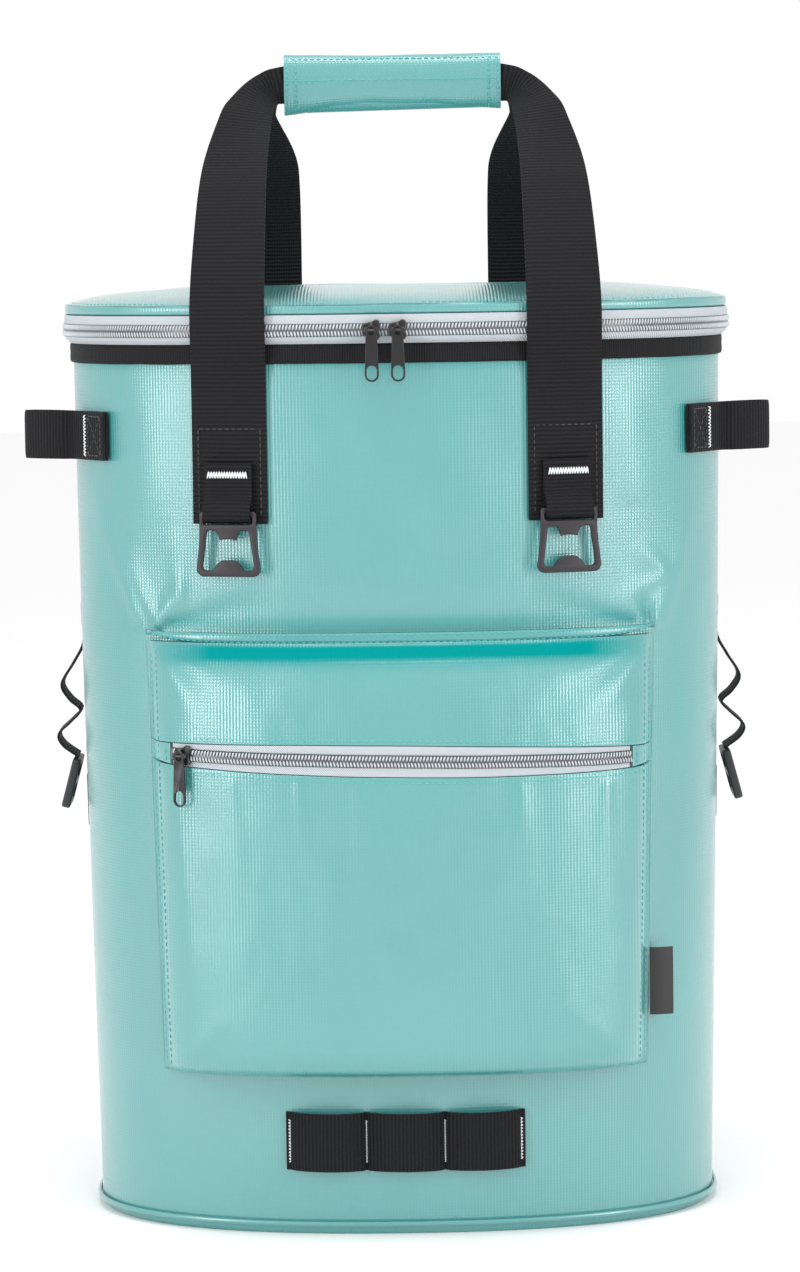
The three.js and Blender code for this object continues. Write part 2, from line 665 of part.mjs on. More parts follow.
function buildPocket() {
  const height = POCKET_TOP_Z - POCKET_BOTTOM_Z;
  const levels = POCKET_PROFILE.map((row) => POCKET_BOTTOM_Z + row.up * height);
  const zipShare = POCKET_ZIP_HALF_LENGTH / pocketHalfWidth(POCKET_ZIP_Z);
  const coilHalf = POCKET_ZIP_COIL_HEIGHT / 2;
  const lowTop = tapeLine(-1, GAP);
  const highFoot = tapeLine(1, GAP);
  const bottom = () => POCKET_BOTTOM_Z;
  const top = () => POCKET_TOP_Z;
  const lowEnd = lowTop(0);
  const highStart = highFoot(0);
  const lowLevels = [...levels.filter((z) => z < lowEnd - 6), lowEnd];
  const highLevels = [highStart, ...levels.filter((z) => z > highStart + 5)];
  const lowRows = lowLevels.map((z) => (z - POCKET_BOTTOM_Z) / (lowEnd - POCKET_BOTTOM_Z));
  const highRows = highLevels.map((z) => (z - highStart) / (POCKET_TOP_Z - highStart));
  const lower = pocketPatch(POCKET_COLUMNS, bottom, lowTop, lowRows, POCKET_WALL);
  const upper = pocketPatch(POCKET_COLUMNS, highFoot, top, highRows, POCKET_WALL);
  add('pocket_lower_panel', lower, TEAL, 0, 0.35);
  add('pocket_upper_panel', upper, TEAL, 0, 0.35);

  const between = POCKET_COLUMNS.filter((share) => Math.abs(share) < zipShare - 0.03);
  const zipColumns = [-zipShare, ...between, zipShare];
  const tapeHigh = pocketPatch(zipColumns, coilLine(coilHalf + GAP), tapeLine(1), [0, 1], TAPE_THICKNESS);
  const tapeLow = pocketPatch(zipColumns, tapeLine(-1), coilLine(-coilHalf - GAP), [0, 1], TAPE_THICKNESS);
  const coil = pocketPatch(zipColumns, coilLine(-coilHalf), coilLine(coilHalf), [0, 0.5, 1], 2, COIL_PROUD);
  add('pocket_zip_tape_upper', tapeHigh, GREY_TAPE);
  add('pocket_zip_tape_lower', tapeLow, GREY_TAPE);
  add('pocket_zip_coil', coil, COIL_GREY, 0.3);

  for (const [side, word] of [[-1, 'left'], [1, 'right']]) {
    const edge = zipShare + GAP / POCKET_TOP_HALF_WIDTH;
    const columns = [edge, (edge + POCKET_SIDE_SEAM) / 2, POCKET_SIDE_SEAM, 1].map((share) => share * side);
    const ordered = side < 0 ? columns.reverse() : columns;
    const flap = pocketPatch(ordered, tapeLine(-1), tapeLine(1), [0, 1], POCKET_WALL);
    add(`pocket_zip_end_${word}`, flap, TEAL, 0, 0.35);
  }

  const sliderShare = (POCKET_SLIDER_INSET - POCKET_ZIP_HALF_LENGTH) / pocketHalfWidth(POCKET_ZIP_Z);
  const coilZ = zipMiddle(sliderShare);
  const seat = pocketPoint(sliderShare, coilZ, COIL_PROUD);
  const beside = pocketPoint(sliderShare + 0.06, coilZ, COIL_PROUD);
  const before = pocketPoint(sliderShare - 0.05, coilZ, COIL_PROUD);
  const yaw = Math.atan2(beside.y - before.y, beside.x - before.x);
  const lift = SLIDER_THICKNESS / 2 + GAP * 2;
  const y = seat.y - lift * Math.cos(yaw);
  addSlider('pocket_zip_slider', 'pocket_zip_pull', seat.x + lift * Math.sin(yaw), y, coilZ, yaw);
}

function buildLabel() {
  const z = LABEL_CENTRE_Z;
  const seam = pocketPoint(0.999, z);
  const half = LABEL_HEIGHT / 2;
  const corner = (x, dy, dz) => point(seam.x + x, seam.y + dy, z + dz);
  const proud = LABEL_THICKNESS * 1.5;
  const rows = [[GAP * 2, -proud], [LABEL_WIDTH * 0.5, -proud], [LABEL_WIDTH, LABEL_THICKNESS * 0.8]];
  const stations = rows.map(([x, dy]) => [corner(x, dy, -half), corner(x, dy, half)]);
  add('pocket_label', ribbon(stations, LABEL_THICKNESS), BLACK);
}

// The daisy chain's bartacks, as shares of its half length
const DAISY_TACKS = [-1.01, -0.35, 0.33, 0.99];
// Where each loop between two bartacks has its edges, as shares of the way
const DAISY_LOOP = [0.1, 0.28, 0.5, 0.72, 0.9];

function buildDaisyChain() {
  const half = DAISY_HEIGHT / 2;
  const tacks = DAISY_TACKS.map((share) => share * DAISY_HALF_LENGTH);
  const seat = GAP + DAISY_THICKNESS / 2;
  const stops = [];
  tacks.forEach((tack, t) => {
    stops.push({ x: tack, out: 0 });
    const next = tacks[t + 1];
    if (next !== undefined) {
      for (const share of DAISY_LOOP) {
        stops.push({ x: tack + (next - tack) * share, out: DAISY_BULGE * Math.sin(Math.PI * share) ** 0.6 });
      }
    }
  });
  stops.unshift({ x: tacks[0] - DAISY_END, out: 0 });
  stops.push({ x: tacks[tacks.length - 1] + DAISY_END, out: 0 });
  const foot = DAISY_CENTRE_Z - half;
  const head = DAISY_CENTRE_Z + half;
  const stations = stops.map(({ x, out }) => {
    const y = Math.min(faceY(x, foot), faceY(x, head)) - seat - out;
    return [point(x, y, foot), point(x, y, head)];
  });
  add('daisy_chain', ribbon(stations, DAISY_THICKNESS), BLACK);
}

function mirrored(stations) {
  const copy = stations.map(([a, b]) => [point(-a.x, a.y, a.z), point(-b.x, b.y, b.z)]);
  return [...stations, ...copy.reverse()];
}

// Routes of the handle straps above the rim: shares of the rise to the grip, of the way that each
// edge is drawn in to the grip's end, and of the way back to the middle
const FRONT_ROUTE = [
  { up: 0.0, outer: 0.0, inner: 0.0, back: 0.0 },
  { up: 0.16, outer: 0.02, inner: 0.03, back: 0.03 },
  { up: 0.38, outer: 0.06, inner: 0.08, back: 0.13 },
  { up: 0.58, outer: 0.1, inner: 0.12, back: 0.28 },
  { up: 0.74, outer: 0.16, inner: 0.17, back: 0.47 },
];
const BACK_ROUTE = [
  { up: 0.0, outer: 0.0, inner: 0.0, back: 0.0 },
  { up: 0.16, outer: 0.0, inner: -0.02, back: 0.03 },
  { up: 0.38, outer: 0.02, inner: -0.06, back: 0.13 },
  { up: 0.58, outer: 0.05, inner: -0.08, back: 0.28 },
  { up: 0.74, outer: 0.12, inner: 0.02, back: 0.47 },
];

// The strap's turn into the grip, as shares of the webbing's width from the grip's end and foot:
// how far out, behind the middle and up each edge lies
const CORNER_ROUTE = [
  { outer: 0.816, outerY: 0.868, outerUp: -0.053, inner: 0.145, innerY: 0.711, innerUp: -0.158 },
  { outer: 0.526, outerY: 0.421, outerUp: 0.289, inner: 0.118, innerY: 0.342, innerUp: -0.026 },
  { outer: 0.237, outerY: 0.158, outerUp: 0.461, inner: 0.092, innerY: 0.132, innerUp: 0 },
];

function handleStrap(name, centre, back, route) {
  const side = back ? 1 : -1;
  const outerX = -centre - WEBBING_WIDTH / 2;
  const innerX = -centre + WEBBING_WIDTH / 2;
  const seat = STRAP_LIFT + WEBBING_THICKNESS / 2;
  const onBody = (x, z, lift) => point(x, faceY(x, Math.min(z, RIM_Z), back) + side * lift, z);
  const stations = [];
  const foot = back ? RIM_Z - BACK_STRAP_LENGTH : FRONT_STRAP_BOTTOM;
  const overBinding = seat + BINDING_THICKNESS;
  for (const [share, lift] of [[0, seat], [0.45, seat], [0.85, seat], [0.98, overBinding]]) {
    const z = foot + (RIM_Z - foot) * share;
    stations.push([onBody(outerX, z, lift), onBody(innerX, z, lift)]);
  }
  const proud = seat + TAPE_BULGE + COIL_THICKNESS / 2 + 1;
  stations.push([onBody(outerX, COIL_MIDDLE_Z, proud), onBody(innerX, COIL_MIDDLE_Z, proud)]);
  const lidTop = TAPE_TOP + LID_RIM_HEIGHT;
  const start = [onBody(outerX, lidTop, proud), onBody(innerX, lidTop, proud)];
  const gripEnd = -GRIP_LENGTH / 2;
  const foldedHalf = GRIP_FOLDED_WEBBING / 2;
  const gripY = side * (GRIP_DEPTH / 2 - GRIP_WALL - GAP * 1.5 - WEBBING_THICKNESS / 2);
  const gripFoot = GRIP_CENTRE_Z - foldedHalf;
  const rise = gripFoot - lidTop;
  for (const row of route) {
    const z = lidTop + row.up * rise;
    const outer = start[0].clone();
    const inner = start[1].clone();
    outer.x += (gripEnd - outerX) * row.outer;
    inner.x += (gripEnd - innerX) * row.inner;
    outer.y += (gripY - outer.y) * row.back;
    inner.y += (gripY - inner.y) * row.back;
    outer.z = z;
    inner.z = z;
    stations.push([outer, inner]);
  }
  const top = GRIP_CENTRE_Z + foldedHalf;
  const w = WEBBING_WIDTH;
  for (const row of CORNER_ROUTE) {
    const outer = point(gripEnd - row.outer * w, side * row.outerY * w, gripFoot + row.outerUp * w);
    const inner = point(gripEnd - row.inner * w, side * row.innerY * w, gripFoot + row.innerUp * w);
    stations.push([outer, inner]);
  }
  const within = gripEnd + GRIP_WALL * 1.5;
  stations.push([point(within, gripY, top), point(within, gripY, gripFoot)]);
  const third = -GRIP_LENGTH / 6;
  stations.push([point(third, gripY, top), point(third, gripY, gripFoot)]);
  add(name, ribbon(mirrored(stations), WEBBING_THICKNESS), BLACK);
}

function buildHandle() {
  handleStrap('handle_strap_front', FRONT_STRAP_CENTRE, false, FRONT_ROUTE);
  handleStrap('handle_strap_back', BACK_STRAP_CENTRE, true, BACK_ROUTE);
  const half = GRIP_HEIGHT / 2;
  const deep = GRIP_DEPTH / 2;
  const corner = deep * 0.8;
  const section = roundedRectangle(-deep, -half, deep, half, corner);
  const w = GRIP_WALL;
  const inside = [-deep + w, -half + w, deep - w, half - w];
  section.holes.push(roundedRectangle(...inside, corner - w, new THREE.Path()));
  const sleeve = barAlongX(section, GRIP_LENGTH, 4);
  sleeve.translate(0, 0, GRIP_CENTRE_Z);
  add('handle_grip', sleeve, TEAL, 0, 0.3);
}

const OPENER_REACH = Math.hypot(OPENER_BAR / 2, OPENER_THICKNESS / 2) + BAR_CLEARANCE;

// Webbing loop round the opener's bar, which is the origin; its two layers meet above
function openerLoopGeometry() {
  const outer = OPENER_REACH + LOOP_THICKNESS;
  const outline = new THREE.Shape();
  outline.moveTo(LOOP_THICKNESS - outer, LOOP_LENGTH);
  outline.lineTo(-outer, LOOP_LENGTH);
  outline.lineTo(-outer, 0);
  outline.absarc(0, 0, outer, Math.PI, Math.PI * 2);
  outline.lineTo(LOOP_THICKNESS * 2 - outer + GAP, outer * 3.4);
  outline.lineTo(LOOP_THICKNESS * 2 - outer + GAP, LOOP_LENGTH);
  const hole = new THREE.Path();
  hole.moveTo(-OPENER_REACH, 0);
  hole.absarc(0, 0, OPENER_REACH, Math.PI, Math.PI * 2);
  hole.lineTo(OPENER_REACH * 0.9, OPENER_REACH * 0.6);
  hole.lineTo(LOOP_THICKNESS - outer + 0.1, outer * 2.6);
  hole.lineTo(-OPENER_REACH, outer * 2.6);
  outline.holes.push(hole);
  const options = { depth: LOOP_WIDTH, bevelEnabled: false, curveSegments: 8 };
  const geometry = new THREE.ExtrudeGeometry(outline, options);
  geometry.translate(0, 0, -LOOP_WIDTH / 2);
  geometry.rotateX(Math.PI / 2);
  geometry.rotateZ(-Math.PI / 2);
  return geometry;
}

// Bottle opener hanging from its bar, which is the origin: a slot for the webbing, and a window
// with a tooth at the top and a hump at the bottom
function openerGeometry() {
  const top = OPENER_BAR / 2;
  const bottom = top - OPENER_HEIGHT;
  const halfTop = OPENER_TOP_WIDTH / 2;
  const half = OPENER_WIDTH / 2;
  const r = OPENER_CORNER;
  const chamfer = OPENER_CHAMFER;
  const shoulder = top - OPENER_BAR - OPENER_SLOT - SHOULDER_DROP;
  const outline = new THREE.Shape();
  outline.moveTo(-halfTop + chamfer, top);
  outline.lineTo(-halfTop, top - chamfer);
  outline.lineTo(-halfTop, shoulder);
  outline.lineTo(-half, bottom + r * 1.6);
  outline.absarc(-half + r, bottom + r, r, Math.PI, Math.PI * 1.5);
  outline.absarc(half - r, bottom + r, r, Math.PI * 1.5, Math.PI * 2);
  outline.lineTo(halfTop, shoulder);
  outline.lineTo(halfTop, top - chamfer);
  outline.lineTo(halfTop - chamfer, top);
  const slotHalf = LOOP_WIDTH / 2 + SLOT_CLEARANCE;
  const slotTop = top - OPENER_BAR;
  const slotFoot = slotTop - OPENER_SLOT;
  outline.holes.push(roundedRectangle(-slotHalf, slotFoot, slotHalf, slotTop, OPENER_SLOT / 4, new THREE.Path()));
  const windowTop = slotTop - OPENER_SLOT - OPENER_BORDER;
  const windowBottom = bottom + OPENER_BORDER;
  const windowTopHalf = halfTop - OPENER_BORDER * 1.375;
  const windowHalf = half - OPENER_BORDER * 1.125;
  const cut = chamfer * 1.3;
  const tooth = OPENER_WIDTH * 0.11;
  const opening = new THREE.Path();
  opening.moveTo(-windowTopHalf, windowTop);
  opening.quadraticCurveTo(-windowHalf, (windowTop + windowBottom) / 2, -windowHalf, windowBottom + cut);
  opening.lineTo(-windowHalf + cut, windowBottom);
  opening.lineTo(-windowHalf * 0.62, windowBottom);
  opening.quadraticCurveTo(0, windowBottom + OPENER_HEIGHT * 0.3, windowHalf * 0.62, windowBottom);
  opening.lineTo(windowHalf - cut, windowBottom);
  opening.lineTo(windowHalf, windowBottom + cut);
  opening.quadraticCurveTo(windowHalf, (windowTop + windowBottom) / 2, windowTopHalf, windowTop);
  opening.lineTo(tooth * 1.5, windowTop);
  opening.lineTo(tooth, windowTop - OPENER_HEIGHT * 0.16);
  opening.lineTo(-tooth, windowTop - OPENER_HEIGHT * 0.16);
  opening.lineTo(-tooth * 1.5, windowTop);
  outline.holes.push(opening);
  return plate(outline, OPENER_THICKNESS);
}

function buildOpeners() {
  for (const [side, word] of [[-1, 'left'], [1, 'right']]) {
    const x = side * FRONT_STRAP_CENTRE;
    const reach = WEBBING_WIDTH / 2;
    const edges = [faceY(x - reach, OPENER_BAR_Z), faceY(x + reach, OPENER_BAR_Z)];
    const yaw = Math.atan2(edges[1] - edges[0], WEBBING_WIDTH);
    const strapY = (edges[0] + edges[1]) / 2 - STRAP_LIFT - WEBBING_THICKNESS;
    const forward = GAP * 2 + OPENER_REACH + LOOP_THICKNESS;
    const place = new THREE.Group();
    place.position.set(x + forward * Math.sin(yaw), strapY - forward * Math.cos(yaw), OPENER_BAR_Z);
    place.rotation.z = yaw;
    bag.add(place);
    add(`opener_loop_${word}`, openerLoopGeometry(), BLACK, 0, 0.8, place);
    add(`opener_${word}`, openerGeometry(), GUNMETAL, 0.7, 0.4, place);
  }
}

// Side grab tab rows: share of the way from the sewn end to the tip, and how far each layer of the
// webbing stands off the middle of the loop, as a share of the loop's half gap
const TAB_ROUTE = [
  { along: 0.0, apart: 0 },
  { along: 0.34, apart: 0 },
  { along: 0.5, apart: 0.65 },
  { along: 0.7, apart: 1 },
  { along: 0.88, apart: 0.95 },
  { along: 0.97, apart: 0.6 },
];

// Side grab tab: a loop seen from above, sewn flat on the body and standing out beyond its edge
function buildTabs() {
  for (const [side, word] of [[-1, 'left'], [1, 'right']]) {
    const layer = (TAB_THICKNESS + GAP) / 2;
    const edgeX = BODY_HALF_WIDTH - TAB_EDGE_INSET;
    const foot = frontPoint(edgeX - TAB_SEWN_LENGTH, TAB_CENTRE_Z, layer * 2 + GAP * 4);
    const edge = frontPoint(edgeX, TAB_CENTRE_Z, layer * 2 + GAP * 5);
    foot.z = 0;
    edge.z = 0;
    const tip = point(BODY_HALF_WIDTH + TAB_REACH, edge.y + TAB_LEAN, 0);
    const place = ({ along, apart }, face) => {
      const sewn = TAB_ROUTE[1].along;
      const [from, to] = along <= sewn ? [foot, edge] : [edge, tip];
      const share = along <= sewn ? along / sewn : (along - sewn) / (1 - sewn);
      const middle = from.clone().lerp(to, share);
      const run = to.clone().sub(from);
      const across = point(-run.y, run.x, 0).normalize();
      return middle.addScaledVector(across, face * (layer + apart * TAB_LOOP_GAP / 2));
    };
    const there = TAB_ROUTE.map((row) => place(row, -1));
    const back = TAB_ROUTE.map((row) => place(row, 1)).reverse();
    const half = TAB_WIDTH / 2;
    const stations = [...there, tip.clone(), ...back].map((p) => [
      point(side * p.x, p.y, TAB_CENTRE_Z - half), point(side * p.x, p.y, TAB_CENTRE_Z + half),
    ]);
    add(`side_tab_${word}`, ribbon(stations, TAB_THICKNESS), BLACK);
  }
}

// Back panel rows: share of the height, how far the padding stands out and how wide it is
const PANEL_ROWS = [
  { up: 0, out: 0.45, wide: 1 },
  { up: 0.03, out: 1, wide: 1 },
  { up: 0.19, out: 1, wide: 1 },
  { up: 0.47, out: 1, wide: 1 },
  { up: 0.78, out: 1, wide: 1 },
  { up: 0.97, out: 1, wide: 0.98 },
  { up: 1, out: 0.45, wide: 0.96 },
];

function buildBackPanel() {
  const quarter = SIDES / 4;
  const steps = Array.from({ length: 2 * PANEL_HALF_STEPS + 1 }, (_, k) => quarter - PANEL_HALF_STEPS + k);
  const grid = PANEL_ROWS.map((row) => steps.map((step, s) => {
    const z = PANEL_BOTTOM_Z + (PANEL_TOP_Z - PANEL_BOTTOM_Z) * row.up;
    const edge = s === 0 || s === steps.length - 1 ? PANEL_ROWS[0].out : row.out;
    const p = planPoint(stepAngle(step), z, PANEL_STAND + PANEL_THICKNESS * edge);
    return point(p.x * row.wide, p.y, z);
  }));
  const onBack = (p) => point(p.x, Math.max(p.y, faceY(p.x, p.z, true) + PANEL_STAND), p.z);
  add('back_panel', sheet(grid, PANEL_THICKNESS, onBack), BLACK, 0, 0.9);
}

// Shoulder pad rows from the top seam round the hanging loop to the lower end: how far out it lies
// as a share of the body's half width, how far behind as a share of its half depth, how far down as
// a share of the hang, the share of the full width, and how far it has turned towards the side
const PAD_ROUTE = [
  { out: 0.26, behind: 1.127, down: 0, width: 0.87, turned: 0 },
  { out: 0.26, behind: 1.22, down: 0.12, width: 0.97, turned: 0 },
  { out: 0.272, behind: 1.32, down: 0.374, width: 1, turned: 0 },
  { out: 0.32, behind: 1.38, down: 0.663, width: 1, turned: 0.05 },
  { out: 0.438, behind: 1.4, down: 0.892, width: 0.97, turned: 0.1 },
  { out: 0.604, behind: 1.35, down: 1, width: 0.87, turned: 0.2 },
  { out: 0.757, behind: 1.23, down: 0.946, width: 0.74, turned: 0.4 },
  { out: 0.864, behind: 1.08, down: 0.801, width: 0.58, turned: 0.6 },
  { out: 0.917, behind: 0.97, down: 0.663, width: 0.45, turned: 0.8 },
];

// Side webbing rows: how far it stands off the body's side as a share of its folds' depth, its
// height as a share of the way from the buckle to the pad's end, how far behind the middle as a
// share of the body's half depth, and how far it has turned edge on to the front
const SIDE_ROUTE = [
  { off: -0.25, up: 1.22, behind: 0.84, turned: 0.35 },
  { off: 0.06, up: 1.31, behind: 0.62, turned: 0.6 },
  { off: 0.16, up: 1.24, behind: 0.42, turned: 0.85 },
  { off: 0.075, up: 1.1, behind: 0.28, turned: 1 },
  { off: 0.075, up: 0.91, behind: 0.25, turned: 1 },
  { off: 0.44, up: 0.745, behind: 0.25, turned: 1 },
  { off: 0.84, up: 0.58, behind: 0.25, turned: 1 },
  { off: 0.6, up: 0.46, behind: 0.25, turned: 1 },
  { off: 0.25, up: 0.373, behind: 0.25, turned: 1 },
  { off: 0.56, up: 0.284, behind: 0.25, turned: 1 },
  { off: 1, up: 0.18, behind: 0.25, turned: 1 },
  { off: 0.875, up: 0.09, behind: 0.25, turned: 1 },
];

function buildShoulderStraps() {
  const places = PAD_ROUTE.map(({ out, behind, down }) => (
    point(out * BODY_HALF_WIDTH, behind * BODY_HALF_BACK, PAD_TOP_Z - down * PAD_HANG)
  ));
  const last = places.length - 1;
  const across = places.map((p, k) => {
    const along = places[Math.min(k + 1, last)].clone().sub(places[Math.max(k - 1, 0)]);
    const turn = PAD_ROUTE[k].turned * (Math.PI / 2);
    return along.cross(point(Math.sin(turn), Math.cos(turn), 0)).normalize();
  });
  const edges = (centre, direction, width) => (
    [-0.5, 0.5].map((s) => centre.clone().addScaledVector(direction, s * width))
  );
  const pad = places.map((p, k) => edges(p, across[k], PAD_ROUTE[k].width * PAD_WIDTH));

  const tangent = places[last].clone().sub(places[last - 1]).normalize();
  const start = places[last].clone().addScaledVector(tangent, GAP * 2);
  const edgeOn = point(0, -1, 0);
  const buckleZ = places[last].z - BUCKLE_DROP;
  const buckleX = sideX(SIDE_WEB_Y, buckleZ) + BUCKLE_OUT;
  const reach = BUCKLE_HEIGHT / 2 + GAP * 3;
  const foot = buckleZ + reach * Math.cos(BUCKLE_TILT);
  const web = [edges(start, across[last], SIDE_WEB_WIDTH)];
  for (const { off, up, behind, turned } of SIDE_ROUTE) {
    const direction = across[last].clone().lerp(edgeOn, turned).normalize();
    const y = behind * BODY_HALF_BACK;
    const z = foot + (places[last].z - foot) * up;
    const x = sideX(behind < 0.6 ? y / 2 : 0, z) + off * SIDE_FOLD_DEPTH;
    web.push(edges(point(x, y, z), direction, SIDE_WEB_WIDTH));
  }
  const end = point(buckleX - Math.sin(BUCKLE_TILT) * reach, SIDE_WEB_Y, foot);
  web.push(edges(end, edgeOn, SIDE_WEB_WIDTH));

  const half = SIDE_WEB_WIDTH / 2;
  const stand = GAP * 2 + LOOP_THICKNESS / 2;
  const anchorAt = (share) => {
    const z = buckleZ + ANCHOR_RISE - ANCHOR_LENGTH * (1 - share);
    return [SIDE_WEB_Y + half, SIDE_WEB_Y - half].map((y) => point(sideX(y, z) + stand, y, z));
  };
  const anchor = [0, 0.5, 1].map(anchorAt);

  const onLeft = (stations, thickness) => (
    ribbon(stations.map((pair) => pair.map((p) => point(-p.x, p.y, p.z))), thickness)
  );
  for (const [side, word] of [[-1, 'left'], [1, 'right']]) {
    const placed = (body) => (side < 0 ? body : otherSide(body));
    add(`shoulder_pad_${word}`, placed(onLeft(pad, PAD_THICKNESS)), BLACK, 0, 0.9);
    add(`side_webbing_${word}`, placed(onLeft(web, LOOP_THICKNESS)), BLACK);
    add(`side_anchor_${word}`, placed(onLeft(anchor, LOOP_THICKNESS)), BLACK);
    const place = new THREE.Group();
    place.position.set(side * buckleX, SIDE_WEB_Y, buckleZ);
    place.rotation.y = -side * BUCKLE_TILT;
    bag.add(place);
    add(`side_buckle_${word}`, buckleGeometry(), BLACK, 0, 0.5, place);
  }
}

// Ladder buckle in the YZ plane with two slots
function buckleGeometry() {
  const half = BUCKLE_WIDTH / 2;
  const frame = roundedRectangle(-half, -BUCKLE_HEIGHT / 2, half, BUCKLE_HEIGHT / 2, BUCKLE_CORNER);
  const slotHalf = SIDE_WEB_WIDTH / 2 + SLOT_CLEARANCE;
  const top = BUCKLE_HEIGHT / 2 - BUCKLE_BAR;
  const middle = BUCKLE_BAR / 2;
  for (const [foot, head] of [[middle, top], [-top, -middle]]) {
    frame.holes.push(roundedRectangle(-slotHalf, foot, slotHalf, head, BUCKLE_CORNER / 3, new THREE.Path()));
  }
  const buckle = plate(frame, BUCKLE_THICKNESS, 2);
  buckle.rotateZ(Math.PI / 2);
  return buckle;
}

buildBody();
buildRim();
buildLid();
buildLidSliders();
buildPocket();
buildLabel();
buildDaisyChain();
buildHandle();
buildOpeners();
buildTabs();
buildBackPanel();
buildShoulderStraps();

export default bag;
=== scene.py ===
"""Looks of the cooler backpack: woven tarpaulin, ribbed webbing, zips, seams and stitches.

Sizes are millimetres, as in the part; every mesh is turned into metres as it is made.
"""
import bisect
import json
import math

import bpy
from mathutils import Matrix, Vector, noise


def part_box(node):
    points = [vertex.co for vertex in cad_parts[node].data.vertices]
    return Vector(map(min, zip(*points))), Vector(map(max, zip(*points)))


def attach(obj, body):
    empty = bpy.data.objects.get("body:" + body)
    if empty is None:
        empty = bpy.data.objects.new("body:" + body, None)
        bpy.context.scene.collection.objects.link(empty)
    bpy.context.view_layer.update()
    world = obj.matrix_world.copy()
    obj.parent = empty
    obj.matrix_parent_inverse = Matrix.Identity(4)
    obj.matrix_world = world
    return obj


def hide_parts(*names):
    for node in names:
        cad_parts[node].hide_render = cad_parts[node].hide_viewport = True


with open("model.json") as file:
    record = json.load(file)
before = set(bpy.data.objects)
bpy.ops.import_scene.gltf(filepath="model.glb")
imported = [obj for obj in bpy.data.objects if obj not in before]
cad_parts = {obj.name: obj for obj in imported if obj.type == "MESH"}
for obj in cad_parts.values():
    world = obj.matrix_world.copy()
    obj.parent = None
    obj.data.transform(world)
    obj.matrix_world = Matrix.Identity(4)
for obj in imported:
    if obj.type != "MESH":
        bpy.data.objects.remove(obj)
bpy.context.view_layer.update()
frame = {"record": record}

MM = 0.001


def node_box(node):
    low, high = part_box(node)
    return low / MM, high / MM


# Camera: at the photograph's height and distance, tilted down, the object leaning a little left
CAMERA_BACK = 2421
CAMERA_HEIGHT = 519
CAMERA_TILT = math.radians(5.2)
CAMERA_ROLL = math.radians(0.8)
CAMERA_LENS = 130.2

# Body, repeated from the part
BODY_HEIGHT = 446
HALF_WIDTH = node_box("body_shell")[1].x
HALF_FRONT = 103
HALF_BACK = 100
FRONT_ROUNDNESS = 2.3
BACK_ROUNDNESS = 3.2
COLLAR_TOP = node_box("body_shell")[1].z
COLLAR_INSET = 2.2
WALL = 8
FLOOR = 10

BINDING_TOP = node_box("rim_binding")[1].z
TAPE_TOP = node_box("lid_zip_tape_upper")[1].z + 0.3
COIL_LOW = node_box("lid_zip_coil")[0].z
COIL_HIGH = node_box("lid_zip_coil")[1].z
COIL_MIDDLE = (COIL_LOW + COIL_HIGH) / 2
TAPE_BULGE = 4.6
LID_OVERHANG = 4
LID_RIM = 4.8
LID_CROWN = 8.5
HINGE_HALF_ANGLE = math.radians(32)

WEBBING_WIDTH = 38
WEBBING = 1.8
STRAP_LIFT = 1.2
STRAP_CENTRE = 85
BACK_STRAP_CENTRE = 70
STRAP_FOOT = node_box("handle_strap_front")[0].z
BACK_STRAP_FOOT = node_box("handle_strap_back")[0].z

POCKET_TOP = 310
POCKET_FOOT = 83
POCKET_TOP_HALF = 130
POCKET_FOOT_HALF = 124.5
POCKET_DEPTH = 27
POCKET_WALL = 1.8
POCKET_GAP = 0.3
ZIP_MIDDLE = 247.8
ZIP_TAPE = 15.6
ZIP_COIL = 5.6
ZIP_SAG = 0.9
ZIP_LEAN = 2.6
ZIP_NARROWING = 0.38
ZIP_HALF = 117

TOOTH_PITCH = 1.7
TOOTH_RADIUS = 0.5

BODY_WIDE = [
    (0, 0.945), (0.005, 0.958), (0.022, 0.961), (0.08, 0.963), (0.16, 0.968), (0.26, 0.973),
    (0.38, 0.978), (0.5, 0.983), (0.62, 0.989), (0.72, 0.993), (0.81, 0.996), (0.88, 0.998), (1, 1),
]
BODY_DEEP = [
    (0, 0.955), (0.005, 0.968), (0.022, 0.975), (0.08, 0.985), (0.16, 0.995), (0.26, 1),
    (0.5, 1), (0.81, 1), (0.88, 0.998), (1, 0.99),
]
POCKET_UP = [
    (0, 0.06), (0.012, 0.62), (0.035, 0.88), (0.09, 0.98), (0.2, 1), (0.4, 0.97), (0.6, 0.93),
    (0.75, 0.86), (0.86, 0.68), (0.93, 0.46), (0.965, 0.24), (0.985, 0.13), (1, 0.09),
]
POCKET_ACROSS = [(0, 1), (0.5, 1.03), (0.75, 1.05), (0.9, 0.95), (0.965, 0.7), (0.99, 0.2), (1, 0.07)]

# Creases pinched out of a corner: start and end (x, z), the ridge's height and half width
BODY_CREASES = [
    (-131, 311, -143, 345, 1.6, 5), (-125, 314, -142, 352, 2.2, 6), (-123, 315, -108, 340, 2.4, 7),
    (-112, 326, -114, 372, 1.4, 8), (-136, 318, -162, 392, 1.6, 6), (-118, 314, -60, 330, -1.8, 9),
    (131, 309, 138, 345, 2.4, 6), (137, 336, 120, 352, 1.8, 6), (134, 334, 112, 322, 1.6, 5),
    (128, 312, 122, 330, -2, 5), (136, 312, 158, 385, 1.8, 8), (118, 312, 62, 330, -1.8, 9),
]
